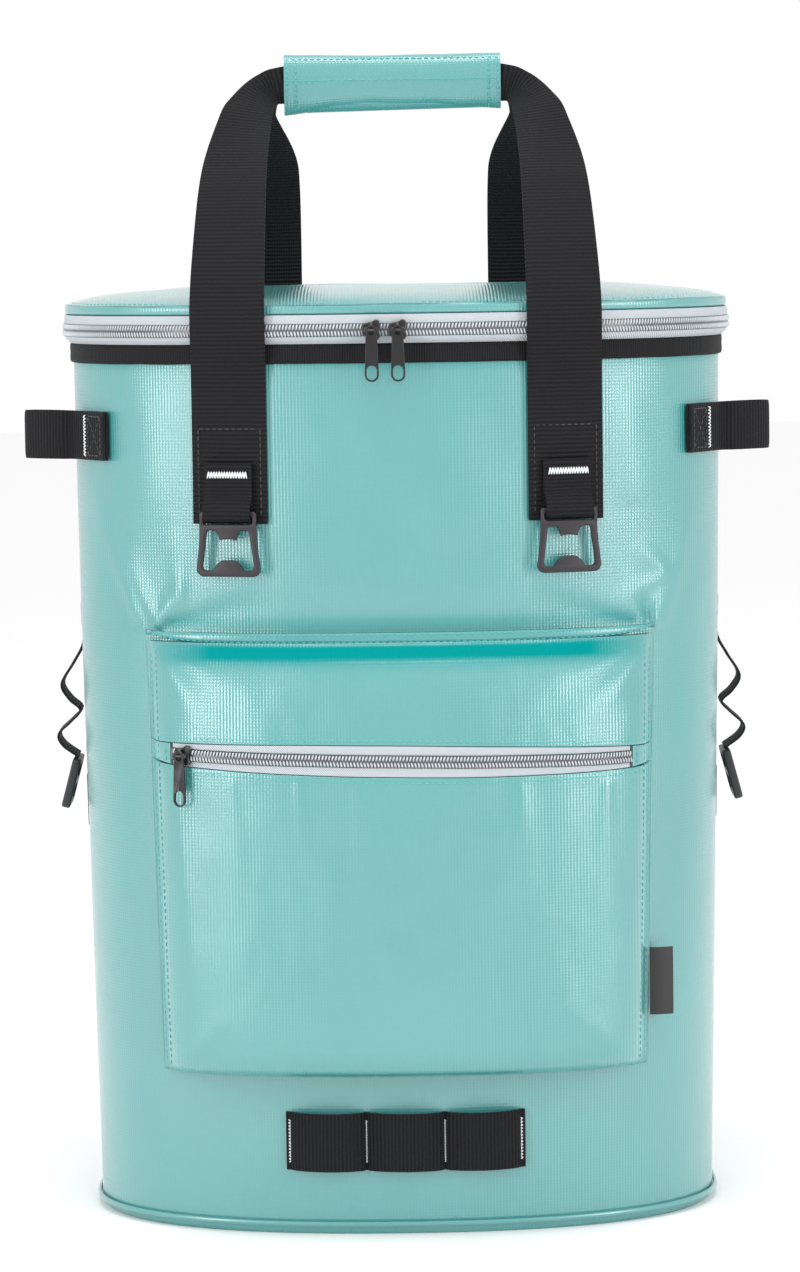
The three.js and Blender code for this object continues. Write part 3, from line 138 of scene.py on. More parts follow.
# Long soft waves in the front: (x, z) ends, height and half width
BODY_WAVES = [
    (-100, 314, 100, 314, -1.6, 13), (-128, 440, -122, 365, 1.0, 12), (-38, 436, -46, 330, 0.9, 16),
    (22, 436, 30, 352, 0.9, 18), (112, 440, 122, 372, 1.3, 12), (150, 430, 146, 345, 0.8, 10),
    (-150, 300, -146, 120, 0.9, 12), (152, 300, 149, 110, 0.9, 12), (-95, 70, 10, 62, -0.7, 12),
]
POCKET_CREASES = [
    (-127, 304, -94, 258, 2.6, 10), (-120, 303, 5, 296, 0.9, 6), (-116, 302, -70, 278, 0.9, 9),
    (129, 301, 84, 258, 2.6, 11), (122, 300, 5, 296, 0.9, 6), (116, 300, 62, 280, 1.0, 9),
    (-118, 236, -104, 120, 1.1, 9), (-86, 236, -82, 176, 0.8, 7), (-52, 236, -50, 190, 0.6, 6),
    (-22, 234, -20, 196, 0.5, 6), (104, 232, 98, 120, 1.2, 9), (60, 232, 62, 196, 0.6, 7),
    (28, 226, 40, 205, 0.6, 6), (-119, 88, -80, 128, 1.3, 9), (119, 88, 74, 130, 1.4, 9),
]


def smooth_curve(rows):
    """Reads (place, value) rows as one smooth line."""
    places = [row[0] for row in rows]
    values = [row[1] for row in rows]
    last = len(rows) - 1
    slopes = []
    for k in range(last + 1):
        before, after = max(k - 1, 0), min(k + 1, last)
        slopes.append((values[after] - values[before]) / (places[after] - places[before]))

    def read(place):
        place = min(max(place, places[0]), places[-1])
        k = min(max(bisect.bisect_right(places, place) - 1, 0), last - 1)
        step = places[k + 1] - places[k]
        t = (place - places[k]) / step
        rise = values[k + 1] - values[k]
        ease = t * t * (3 - 2 * t)
        bend_in = t * (1 - t) * (1 - t) * step * slopes[k]
        bend_out = t * t * (t - 1) * step * slopes[k + 1]
        return values[k] + rise * ease + bend_in + bend_out

    return read


body_wide = smooth_curve(BODY_WIDE)
body_deep = smooth_curve(BODY_DEEP)
pocket_up = smooth_curve(POCKET_UP)
pocket_across = smooth_curve(POCKET_ACROSS)


def creases(table, x, z, pinched):
    """Height of a table's ridges at a place; a pinched ridge starts narrow and widens as it fades."""
    total = 0.0
    for x0, z0, x1, z1, rise, spread in table:
        run_x, run_z = x1 - x0, z1 - z0
        share = ((x - x0) * run_x + (z - z0) * run_z) / (run_x * run_x + run_z * run_z)
        share = min(max(share, 0), 1)
        away = math.hypot(x - x0 - run_x * share, z - z0 - run_z * share)
        if pinched:
            width = spread * (0.35 + 0.65 * share)
            fade = (1 - share) ** 0.7
        else:
            width = spread
            fade = math.sin(math.pi * share) ** 0.5 if 0 < share < 1 else 0.0
        if away < width * 3:
            total += rise * math.exp(-((away / width) ** 2)) * fade
    return total


def softness(u, v, scale, seed):
    return noise.noise(Vector((u / scale, v / (scale * 1.7), seed)))


def body_relief(x, z):
    rise = creases(BODY_CREASES, x, z, True) + creases(BODY_WAVES, x, z, False)
    fade = min(1, max(0, (BODY_HEIGHT - z) / 25)) * min(1, max(0, z / 30))
    return (rise + 0.7 * softness(x, z, 46, 3.1) + 0.35 * softness(x, z, 17, 9.4)) * fade


def bell(away, spread):
    return math.exp(-((away / spread) ** 2))


def body_shade(x, z):
    """Painted shade on the front, above the pocket's hem, under the binding and in the folds' valleys: the tarpaulin
    deepens its colour and takes away its gloss there.
    """
    hem = 0.45 * bell(z - 314, 4) * (1 - min(1, abs(x) / 136) ** 8) if z > 309 else 0.0
    rim = 0.4 * bell(z - BODY_HEIGHT, 2.6)
    valley = min(0.5, max(0.0, -creases(BODY_CREASES, x, z, True) / 4))
    return min(1.0, hem + rim + valley)


def body_size(z):
    up = min(max(z / BODY_HEIGHT, 0), 1)
    deep = body_deep(up)
    return HALF_WIDTH * body_wide(up), HALF_FRONT * deep, HALF_BACK * deep


def plan_point(angle, z, offset=0.0):
    """Point on the body's outline; the angle runs anticlockwise from +X."""
    wide, front, back = body_size(z)
    c, s = math.cos(angle), math.sin(angle)
    power = 2 / (FRONT_ROUNDNESS if s < 0 else BACK_ROUNDNESS)
    deep = front if s < 0 else back
    x = (wide + offset) * math.copysign(abs(c) ** power, c)
    y = (deep + offset) * math.copysign(abs(s) ** power, s)
    return Vector((x, y, z))


def face_y(x, z, back=False):
    """Depth of the front or back face at a place, with its folds."""
    wide, front, behind = body_size(z)
    roundness = BACK_ROUNDNESS if back else FRONT_ROUNDNESS
    share = max(0, 1 - min(1, abs(x) / wide) ** roundness) ** (1 / roundness)
    if back:
        return behind * share
    return -front * share - body_relief(x, z) * min(1, share / 0.4)


def front_slope(x, z):
    """Outward direction of the front face."""
    step = 2.0
    across = (face_y(x + step, z) - face_y(x - step, z)) / (2 * step)
    return Vector((across, -1, 0)).normalized()


def even_angles(start, end, spacing, offset=0.0, z=BODY_HEIGHT):
    """Angles along the outline from start to end, evenly spaced in millimetres."""
    count = 1440
    angles = [start + (end - start) * k / count for k in range(count + 1)]
    runs = [0.0]
    for a, b in zip(angles, angles[1:]):
        runs.append(runs[-1] + (plan_point(b, z, offset) - plan_point(a, z, offset)).length)
    steps = max(2, round(runs[-1] / spacing))
    out = []
    for k in range(steps + 1):
        want = runs[-1] * k / steps
        place = min(max(bisect.bisect_left(runs, want), 1), count)
        share = (want - runs[place - 1]) / max(runs[place] - runs[place - 1], 1e-9)
        out.append((angles[place - 1] + (angles[place] - angles[place - 1]) * share, want))
    return out


# Materials

class Nodes:
    """Short calls that add nodes to one material."""

    def __init__(self, name):
        self.material = bpy.data.materials.new(name)
        self.material.use_nodes = True
        self.tree = self.material.node_tree
        self.shader = self.tree.nodes["Principled BSDF"]

    def add(self, kind, **values):
        node = self.tree.nodes.new(kind)
        for key, value in values.items():
            setattr(node, key, value)
        return node

    def put(self, socket, value):
        if isinstance(value, bpy.types.NodeSocket):
            self.tree.links.new(value, socket)
        else:
            socket.default_value = value

    def math(self, operation, a, b=0.0):
        node = self.add("ShaderNodeMath", operation=operation)
        self.put(node.inputs[0], a)
        self.put(node.inputs[1], b)
        return node.outputs[0]

    def cloth(self):
        """The two distances along the cloth, in metres; the third value, kept as shade, is the painted shade."""
        attribute = self.add("ShaderNodeAttribute", attribute_name="cloth")
        split = self.add("ShaderNodeSeparateXYZ")
        self.put(split.inputs[0], attribute.outputs["Vector"])
        self.shade = split.outputs[2]
        return split.outputs[0], split.outputs[1]

    def place(self):
        return self.add("ShaderNodeTexCoord").outputs["Object"]

    def wave(self, along, period):
        """Rises and falls between 0 and 1 once in each period of millimetres."""
        turns = self.math("MULTIPLY", along, 2 * math.pi / (period * MM))
        return self.math("MULTIPLY", self.math("ADD", self.math("COSINE", turns), 1.0), 0.5)

    def noise(self, scale, detail=2.0, vector=None, rough=0.5):
        node = self.add("ShaderNodeTexNoise")
        self.put(node.inputs["Vector"], vector or self.place())
        node.inputs["Scale"].default_value = scale
        node.inputs["Detail"].default_value = detail
        node.inputs["Roughness"].default_value = rough
        return node.outputs["Fac"]

    def range(self, value, low, high, out_low, out_high):
        node = self.add("ShaderNodeMapRange")
        for socket, number in zip(node.inputs[:5], (value, low, high, out_low, out_high)):
            self.put(socket, number)
        return node.outputs[0]

    def mix(self, share, a, b):
        node = self.add("ShaderNodeMix", data_type="RGBA")
        self.put(node.inputs["Factor"], share)
        self.put(node.inputs[6], (*a, 1) if isinstance(a, tuple) else a)
        self.put(node.inputs[7], (*b, 1) if isinstance(b, tuple) else b)
        return node.outputs[2]

    def bump(self, height, distance, strength=1.0, normal=None):
        node = self.add("ShaderNodeBump")
        node.inputs["Strength"].default_value = strength
        node.inputs["Distance"].default_value = distance * MM
        self.put(node.inputs["Height"], height)
        if normal is not None:
            self.put(node.inputs["Normal"], normal)
        return node.outputs[0]

    def surface(self, **values):
        for key, value in values.items():
            name = key.replace("_", " ").title().replace("Ior", "IOR")
            if isinstance(value, tuple):
                value = (*value, 1)
            self.put(self.shader.inputs[name], value)
        return self.material


TEAL = (0.042, 0.272, 0.268)
TEAL_DEEP = (0.034, 0.26, 0.256)
TEAL_PALE = (0.052, 0.288, 0.284)
# TEAL_SHADE: colour of the painted shade in the hollows and folds
TEAL_SHADE = (0.002, 0.232, 0.23)
WEAVE = 1.7


def tarpaulin(name="tarpaulin", bump=0.1, gloss=0.3):
    """Coated cloth: the grid of threads shows through the gloss; painted shade deepens the colour of the hollows
    towards TEAL_SHADE and takes away their gloss.
    """
    n = Nodes(name)
    u, v = n.cloth()
    across = n.wave(u, WEAVE)
    along = n.wave(v, WEAVE * 0.94)
    crossing = n.math("MULTIPLY", across, along)
    weave = n.math("ADD", n.math("MULTIPLY", across, 0.5), n.math("MULTIPLY", crossing, 0.8))
    tone = n.range(n.noise(14, 3), 0.3, 0.7, 0.2, 0.8)
    base = n.mix(tone, TEAL_DEEP, TEAL_PALE)
    base = n.mix(n.math("MULTIPLY", crossing, 0.5), base, TEAL)
    # painted shade: the colour deepens and the gloss goes where the shade value is high
    base = n.mix(n.shade, base, TEAL_SHADE)
    fine = n.bump(n.noise(900, 2), 0.02, 0.5)
    normal = n.bump(weave, bump, 1.0, fine)
    open_share = n.math("SUBTRACT", 1.0, n.shade)
    smear = n.noise(60, 3)
    return n.surface(
        base_color=base, roughness=n.range(smear, 0.3, 0.7, gloss, gloss + 0.08), normal=normal,
        specular_ior_level=n.math("MULTIPLY", open_share, 1.0), coat_weight=n.math("MULTIPLY", open_share, 1.0),
        coat_roughness=0.2, coat_ior=1.66, coat_normal=normal,
    )


def ribbed_webbing(name, pitch=2.2, dark=(0.002, 0.002, 0.0025), light=(0.013, 0.0127, 0.0155), depth=0.34):
    n = Nodes(name)
    across, along = n.cloth()
    wobble = n.math("MULTIPLY", n.math("SUBTRACT", n.noise(70, 2), 0.5), 0.0007)
    rib = n.wave(n.math("ADD", along, wobble), pitch)
    yarn = n.wave(across, 0.95)
    height = n.math("ADD", rib, n.math("MULTIPLY", yarn, 0.3))
    fuzz = n.noise(1400, 2)
    # painted light on the ribs: the crests are painted lighter and the grooves darker, on top of the bump; the fuzz
    # varies it at random
    shade = n.math("MULTIPLY", rib, n.range(fuzz, 0.2, 0.8, 0.45, 1.0))
    base = n.mix(shade, dark, light)
    normal = n.bump(height, depth, 1.0, n.bump(fuzz, 0.05, 0.7))
    return n.surface(
        base_color=base, roughness=0.62, normal=normal, specular_ior_level=0.18,
        sheen_weight=0.02, sheen_roughness=0.4,
    )


def zip_tape():
    n = Nodes("zip_tape")
    u, v = n.cloth()
    twill = n.wave(n.math("ADD", u, v), 1.25)
    yarn = n.wave(v, 0.5)
    base = n.mix(twill, (0.3, 0.335, 0.36), (0.54, 0.58, 0.61))
    normal = n.bump(n.math("ADD", twill, n.math("MULTIPLY", yarn, 0.4)), 0.12)
    return n.surface(base_color=base, roughness=0.6, normal=normal, sheen_weight=0.05)


def coil_plastic(name, base, deep):
    n = Nodes(name)
    tone = n.mix(n.noise(500, 2), deep, base)
    normal = n.bump(n.noise(2200, 2), 0.03, 0.5)
    return n.surface(base_color=tone, roughness=0.32, normal=normal, coat_weight=0.2, coat_roughness=0.2)


def coated_metal(name, base, worn, roughness, metallic):
    n = Nodes(name)
    edge = n.range(n.add("ShaderNodeNewGeometry").outputs["Pointiness"], 0.52, 0.62, 0.0, 1.0)
    speck = n.noise(900, 3)
    wear = n.math("MULTIPLY", edge, n.range(n.noise(160, 3), 0.35, 0.65, 0.1, 0.7))
    tone = n.mix(wear, n.mix(speck, base, tuple(c * 1.25 for c in base)), worn)
    normal = n.bump(speck, 0.03, 0.6)
    return n.surface(
        base_color=tone, metallic=metallic, roughness=n.range(speck, 0.2, 0.8, roughness, roughness + 0.12),
        normal=normal, specular_ior_level=0.5,
    )


def moulded_plastic():
    n = Nodes("buckle_plastic")
    grain = n.noise(1300, 3)
    tone = n.mix(grain, (0.012, 0.012, 0.013), (0.022, 0.022, 0.024))
    return n.surface(base_color=tone, roughness=0.42, normal=n.bump(grain, 0.04, 0.7))


def thread(name, base, dark):
    n = Nodes(name)
    twist = n.noise(1500, 2)
    return n.surface(base_color=n.mix(twist, dark, base), roughness=0.55, normal=n.bump(twist, 0.05), sheen_weight=0.2)


def label_weave():
    n = Nodes("label_cloth")
    u, v = n.cloth()
    satin = n.math("MULTIPLY", n.wave(u, 0.5), n.wave(v, 0.32))
    tone = n.mix(satin, (0.012, 0.011, 0.011), (0.032, 0.03, 0.03))
    return n.surface(base_color=tone, roughness=0.5, normal=n.bump(satin, 0.05), sheen_weight=0.15)


def spacer_mesh():
    n = Nodes("back_mesh")
    cells = n.add("ShaderNodeTexVoronoi", feature="F1")
    n.put(cells.inputs["Vector"], n.place())
    cells.inputs["Scale"].default_value = 330
    cells.inputs["Randomness"].default_value = 0.25
    hole = n.range(cells.outputs["Distance"], 0.15, 0.45, 0.0, 1.0)
    # painted shade: the mesh's holes are painted darker than its threads
    tone = n.mix(hole, (0.004, 0.004, 0.004), (0.026, 0.026, 0.029))
    fuzz = n.bump(n.noise(1500, 2), 0.04, 0.6)
    return n.surface(base_color=tone, roughness=0.85, normal=n.bump(hole, 0.5, 1.0, fuzz), sheen_weight=0.25)


def floor_paper():
    n = Nodes("floor_paper")
    grain = n.noise(260, 3)
    tone = n.mix(grain, (0.93, 0.93, 0.93), (0.97, 0.97, 0.97))
    return n.surface(base_color=tone, roughness=0.9, normal=n.bump(grain, 0.05, 0.3), specular_ior_level=0.2)


TARPAULIN = tarpaulin()
TARPAULIN_TRIM = tarpaulin("tarpaulin_trim", 0.03, 0.34)
STRAP_WEBBING = ribbed_webbing("webbing_wide")
LOOP_WEBBING = ribbed_webbing("webbing_narrow", 1.9)
BINDING = ribbed_webbing("webbing_binding", 1.25, depth=0.16)
ZIP_TAPE_CLOTH = zip_tape()
COIL = coil_plastic("zip_coil", (0.56, 0.6, 0.62), (0.4, 0.43, 0.46))
COIL_CORE = coil_plastic("zip_coil_core", (0.13, 0.14, 0.15), (0.06, 0.065, 0.07))
ZIP_METAL = coated_metal("zip_metal", (0.012, 0.012, 0.013), (0.2, 0.2, 0.21), 0.3, 0.3)
OPENER_METAL = coated_metal("opener_metal", (0.026, 0.023, 0.027), (0.16, 0.15, 0.17), 0.36, 0.45)
BUCKLE = moulded_plastic()
WHITE_THREAD = thread("thread_white", (0.85, 0.87, 0.88), (0.6, 0.63, 0.65))
TEAL_THREAD = thread("thread_teal", (0.1, 0.5, 0.49), (0.04, 0.3, 0.3))
# black thread, also the colour of the painted shade strips at the zip slot's ends
BLACK_THREAD_AND_SLOT_SHADE = thread("thread_black_and_slot_shade", (0.03, 0.03, 0.033), (0.01, 0.01, 0.01))
LABEL = label_weave()
SPACER = spacer_mesh()


# Mesh making

def dress(obj, nodes=(), body="bag"):
    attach(obj, body)
    if nodes:
        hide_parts(*nodes)
    return obj


def make(name, points, faces, material, cloth=None, sharp=None):
    """Mesh object from millimetre points; cloth holds each point's two distances along the cloth,
    and how much painted shade it carries."""
    mesh = bpy.data.meshes.new(name)
    mesh.from_pydata([Vector(p) * MM for p in points], [], faces)
    mesh.update()
    if cloth is not None:
        layer = mesh.attributes.new("cloth", "FLOAT_VECTOR", "POINT")
        flat = [number for u, v, *shade in cloth for number in (u * MM, v * MM, shade[0] if shade else 0.0)]
        layer.data.foreach_set("vector", flat)
    mesh.shade_smooth()
    if sharp is not None:
        mesh.set_sharp_from_angle(angle=math.radians(sharp))
    mesh.materials.append(material)
    obj = bpy.data.objects.new(name, mesh)
    bpy.context.scene.collection.objects.link(obj)
    return obj


def loft(rings, closed=False, caps=True):
    """Points and faces of a tube through rings of points."""
    count = len(rings[0])
    points = [p for ring in rings for p in ring]
    faces = []
    spans = len(rings) if closed else len(rings) - 1
    for r in range(spans):
        low, high = r * count, ((r + 1) % len(rings)) * count
        for k in range(count):
            after = (k + 1) % count
            faces.append((low + k, low + after, high + after, high + k))
    if caps and not closed:
        for ring, flip in ((0, True), (len(rings) - 1, False)):
            centre = sum(rings[ring], Vector((0, 0, 0))) / count
            points.append(centre)
            middle = len(points) - 1
            for k in range(count):
                here, after = ring * count + k, ring * count + (k + 1) % count
                faces.append((middle, after, here) if flip else (middle, here, after))
    return points, faces


def loft_cloth(rings, coords, closed=False):
    flat = [c for ring in coords for c in ring]
    if not closed:
        flat += [coords[0][0], coords[-1][0]]
    return flat


def cloth_sheet(name, grid, coords, thickness, material, nodes=()):
    """Sheet of cloth from a grid of outer points, its back a thickness behind."""
    rows, columns = len(grid), len(grid[0])
    points = [p for row in grid for p in row]
    faces = []
    for r in range(rows - 1):
        for c in range(columns - 1):
            here = r * columns + c
            faces.append((here, here + 1, here + columns + 1, here + columns))
    obj = make(name, points, faces, material, [c for row in coords for c in row])
    solid = obj.modifiers.new("thickness", "SOLIDIFY")
    solid.thickness = thickness * MM
    solid.offset = -1
    soft = obj.modifiers.new("edge", "BEVEL")
    soft.width = 0.35 * MM
    soft.segments = 2
    soft.limit_method = "ANGLE"
    soft.angle_limit = math.radians(50)
    return dress(obj, nodes)


def smooth_line(places, spacing):
    """Points of a smooth line through lists of vectors, every list of the same length."""
    count = len(places)
    fine = []
    for k in range(count - 1):
        before, a, b, after = (places[min(max(k + s, 0), count - 1)] for s in (-1, 0, 1, 2))
        length = max((q - p).length for p, q in zip(a, b))
        steps = max(1, math.ceil(length / spacing))
        for step in range(steps):
            t = step / steps
            fine.append([catmull(p0, p1, p2, p3, t) for p0, p1, p2, p3 in zip(before, a, b, after)])
    fine.append(list(places[-1]))
    return fine


def turned_line(places, spacing):
    """Points of a line with straight runs and rounded turns; each place gives its turn's share."""
    fine = [list(places[0][:2])]
    for k in range(1, len(places) - 1):
        before, here, after = places[k - 1], places[k], places[k + 1]
        share = here[2] if len(here) > 2 else 0.5
        start = [p.lerp(q, share) for p, q in zip(here[:2], before[:2])]
        end = [p.lerp(q, share) for p, q in zip(here[:2], after[:2])]
        run = max((start[j] - fine[-1][j]).length for j in (0, 1))
        last = fine[-1]
        steps = max(1, math.ceil(run / spacing))
        for step in range(1, steps + 1):
            fine.append([p.lerp(q, step / steps) for p, q in zip(last, start)])
        size = max((end[j] - start[j]).length for j in (0, 1))
        steps = max(3, math.ceil(size / spacing))
        for step in range(1, steps + 1):
            t = step / steps
            fine.append([a.lerp(b, t).lerp(b.lerp(c, t), t) for a, b, c in zip(start, here[:2], end)])
    last = fine[-1]
    run = max((places[-1][j] - last[j]).length for j in (0, 1))
    steps = max(1, math.ceil(run / spacing))
    for step in range(1, steps + 1):
        fine.append([p.lerp(q, step / steps) for p, q in zip(last, places[-1][:2])])
    return fine


def catmull(p0, p1, p2, p3, t):
    return 0.5 * (2 * p1 + (p2 - p0) * t + (2 * p0 - 5 * p1 + 4 * p2 - p3) * t * t + (3 * p1 - p0 - 3 * p2 + p3) * t ** 3)


def webbing(name, stations, thickness, material, nodes=(), across=10, spacing=3.0, smooth=True):
    """Woven strap through stations, each with its two edge points."""
    fine = smooth_line(stations, spacing) if smooth else turned_line(stations, spacing)
    centres = [(a + b) / 2 for a, b in fine]
    rings, coords = [], []
    run = 0.0
    for k, (a, b) in enumerate(fine):
        if k:
            run += (centres[k] - centres[k - 1]).length
        along = centres[min(k + 1, len(centres) - 1)] - centres[max(k - 1, 0)]
        out = along.cross(b - a).normalized() * (thickness / 2)
        width = (b - a).length
        front, back, here = [], [], []
        for j in range(across + 1):
            share = (1 - math.cos(math.pi * j / across)) / 2
            full = 0.45 + 0.55 * (1 - abs(2 * share - 1) ** 9)
            centre = a.lerp(b, share)
            front.append(centre + out * full)
            back.append(centre - out * full)
            here.append((share * width, run))
        rings.append(front + back[::-1])
        coords.append(here + here[::-1])
    points, faces = loft(rings)
    obj = make(name, points, faces, material, loft_cloth(rings, coords), sharp=60)
    return dress(obj, nodes)


def band(name, section, angles, material, nodes=(), closed=False, turn=False, wave=0.0, z=BODY_HEIGHT):
    """Strip round the rim through a section of offsets and heights."""
    rings, coords = [], []
    for angle, run in angles:
        lift = wave * noise.noise(Vector((run / 21, 4.2, 0)))
        ring, here = [], []
        for out, height in section:
            p = plan_point(angle, min(height, z), out)
            ring.append(Vector((p.x, p.y, height + lift)))
            here.append((height, run) if turn else (run, height))
        rings.append(ring)
        coords.append(here)
    if closed:
        rings, coords = rings[:-1], coords[:-1]
    points, faces = loft(rings, closed)
    obj = make(name, points, faces, material, loft_cloth(rings, coords, closed), sharp=50)
    return dress(obj, nodes)


STITCHES = {"teal": [], "black": [], "white": []}


def stitch(colour, start, end, out, radius=0.3):
    STITCHES[colour].append((start, end, out, radius))


def stitch_line(colour, line, length=2.5, gap=0.9, radius=0.3):
    """Sews along a line of (place, outward direction) pairs."""
    runs = [0.0]
    for (a, _), (b, _) in zip(line, line[1:]):
        runs.append(runs[-1] + (b - a).length)

    def at(run):
        k = min(max(bisect.bisect_right(runs, run) - 1, 0), len(line) - 2)
        share = (run - runs[k]) / max(runs[k + 1] - runs[k], 1e-9)
        return line[k][0].lerp(line[k + 1][0], share), line[k][1].lerp(line[k + 1][1], share).normalized()

    run = gap / 2
    while run + length < runs[-1]:
        a, out = at(run)
        b, _ = at(run + length)
        stitch(colour, a, b, out, radius)
        run += length + gap


def bartack(colour, centre, along, across, out, length, height, strokes, radius=0.36):
    """Dense zigzag of thread."""
    for k in range(strokes):
        low = centre + along * (length * (k / strokes - 0.5)) - across * (height / 2)
        high = centre + along * (length * ((k + 0.55) / strokes - 0.5)) + across * (height / 2)
        after = centre + along * (length * ((k + 1) / strokes - 0.5)) - across * (height / 2)
        stitch(colour, low, high, out, radius)
        stitch(colour, high, after, out, radius)


STITCH_RINGS = ((0.0, 0.35, -0.5), (0.16, 0.85, 0.15), (0.5, 1.0, 0.45), (0.84, 0.85, 0.15), (1.0, 0.35, -0.5))
STITCH_SIDES = 6


def capsules(name, threads, material, nodes=(), body="bag"):
    """One mesh of short threads, each a tapered capsule that dips into the cloth at its ends."""
    points, faces = [], []
    for start, end, out, radius in threads:
        along = (end - start).normalized()
        side = along.cross(out).normalized()
        base = len(points)
        for share, size, lift in STITCH_RINGS:
            centre = start.lerp(end, share) + out * (lift * radius)
            for k in range(STITCH_SIDES):
                turn = 2 * math.pi * k / STITCH_SIDES
                points.append(centre + (side * math.cos(turn) + out * math.sin(turn)) * (radius * size))
        for r in range(len(STITCH_RINGS) - 1):
            for k in range(STITCH_SIDES):
                after = (k + 1) % STITCH_SIDES
                low = base + r * STITCH_SIDES
                faces.append((low + after, low + k, low + STITCH_SIDES + k, low + STITCH_SIDES + after))
        last = base + (len(STITCH_RINGS) - 1) * STITCH_SIDES
        faces.append(tuple(base + k for k in range(STITCH_SIDES)))
        faces.append(tuple(last + k for k in reversed(range(STITCH_SIDES))))
    return dress(make(name, points, faces, material), nodes, body)


def arc(cx, cz, radius, start, end, steps=8):
    turns = [math.radians(start + (end - start) * k / steps) for k in range(steps + 1)]
    return [(cx + radius * math.cos(t), cz + radius * math.sin(t)) for t in turns]


def curve(a, b, c, steps=10):
    """Quadratic curve from a to c, drawn towards b."""
    out = []
    for k in range(steps + 1):
        t = k / steps
        out.append(tuple((1 - t) ** 2 * p + 2 * t * (1 - t) * q + t * t * r for p, q, r in zip(a, b, c)))
    return out


def rounded_box(left, foot, right, top, radius, steps=6):
    return (
        arc(right - radius, foot + radius, radius, -90, 0, steps)
        + arc(right - radius, top - radius, radius, 0, 90, steps)
        + arc(left + radius, top - radius, radius, 90, 180, steps)
        + arc(left + radius, foot + radius, radius, 180, 270, steps)
    )


def plate_mesh(loops, thickness, bevel):
    """Flat plate with holes and rounded edges, standing in the XZ plane about the origin."""
    outline = bpy.data.curves.new("outline", "CURVE")
    outline.dimensions = "2D"
    outline.fill_mode = "BOTH"
    for loop in loops:
        spline = outline.splines.new("POLY")
        spline.points.add(len(loop) - 1)
        spline.points.foreach_set("co", [n for x, z in loop for n in (x * MM, z * MM, 0, 1)])
        spline.use_cyclic_u = True
    outline.extrude = (thickness / 2 - bevel) * MM
    outline.bevel_depth = bevel * MM
    outline.bevel_resolution = 3
    outline.offset = -bevel * MM
    holder = bpy.data.objects.new("outline", outline)
    bpy.context.scene.collection.objects.link(holder)
    mesh = bpy.data.meshes.new_from_object(holder.evaluated_get(bpy.context.evaluated_depsgraph_get()))
    bpy.data.objects.remove(holder)
    bpy.data.curves.remove(outline)
    mesh.transform(Matrix.Rotation(math.pi / 2, 4, "X"))
    return mesh


def welded(mesh):
    import bmesh
    work = bmesh.new()
    work.from_mesh(mesh)
    bmesh.ops.remove_doubles(work, verts=work.verts, dist=1e-6)
    bmesh.ops.recalc_face_normals(work, faces=work.faces)
    work.to_mesh(mesh)
    work.free()


def hard_piece(name, meshes, place, material, nodes, body="bag", sharp=35):
    """Joins meshes in metres into one piece and sets it in its place."""
    import bmesh
    work = bmesh.new()
    for mesh in meshes:
        work.from_mesh(mesh)
    bmesh.ops.remove_doubles(work, verts=work.verts, dist=1e-6)
    bmesh.ops.recalc_face_normals(work, faces=work.faces)
    joined = bpy.data.meshes.new(name)
    work.to_mesh(joined)
    work.free()
    joined.transform(place)
    joined.materials.clear()
    joined.materials.append(material)
    joined.shade_smooth()
    joined.set_sharp_from_angle(angle=math.radians(sharp))
    obj = bpy.data.objects.new(name, joined)
    bpy.context.scene.collection.objects.link(obj)
    return dress(obj, nodes, body)


def tube_mesh(line, radius, sides=10, ends=True):
    """Round bar through points."""
    rings = []
    for k, p in enumerate(line):
        along = (line[min(k + 1, len(line) - 1)] - line[max(k - 1, 0)]).normalized()
        guide = Vector((0, 0, 1)) if abs(along.z) < 0.8 else Vector((1, 0, 0))
        side = along.cross(guide).normalized()
        up = side.cross(along)
        rings.append([
            p + (side * math.cos(t) + up * math.sin(t)) * radius
            for t in (2 * math.pi * j / sides for j in range(sides))
        ])
    points, faces = loft(rings, caps=ends)
    mesh = bpy.data.meshes.new("tube")
    mesh.from_pydata([p * MM for p in points], [], faces)
    return mesh


# Body

BODY_COLUMNS_FRONT = 230
BODY_COLUMNS_BACK = 90
BODY_ROWS = 150


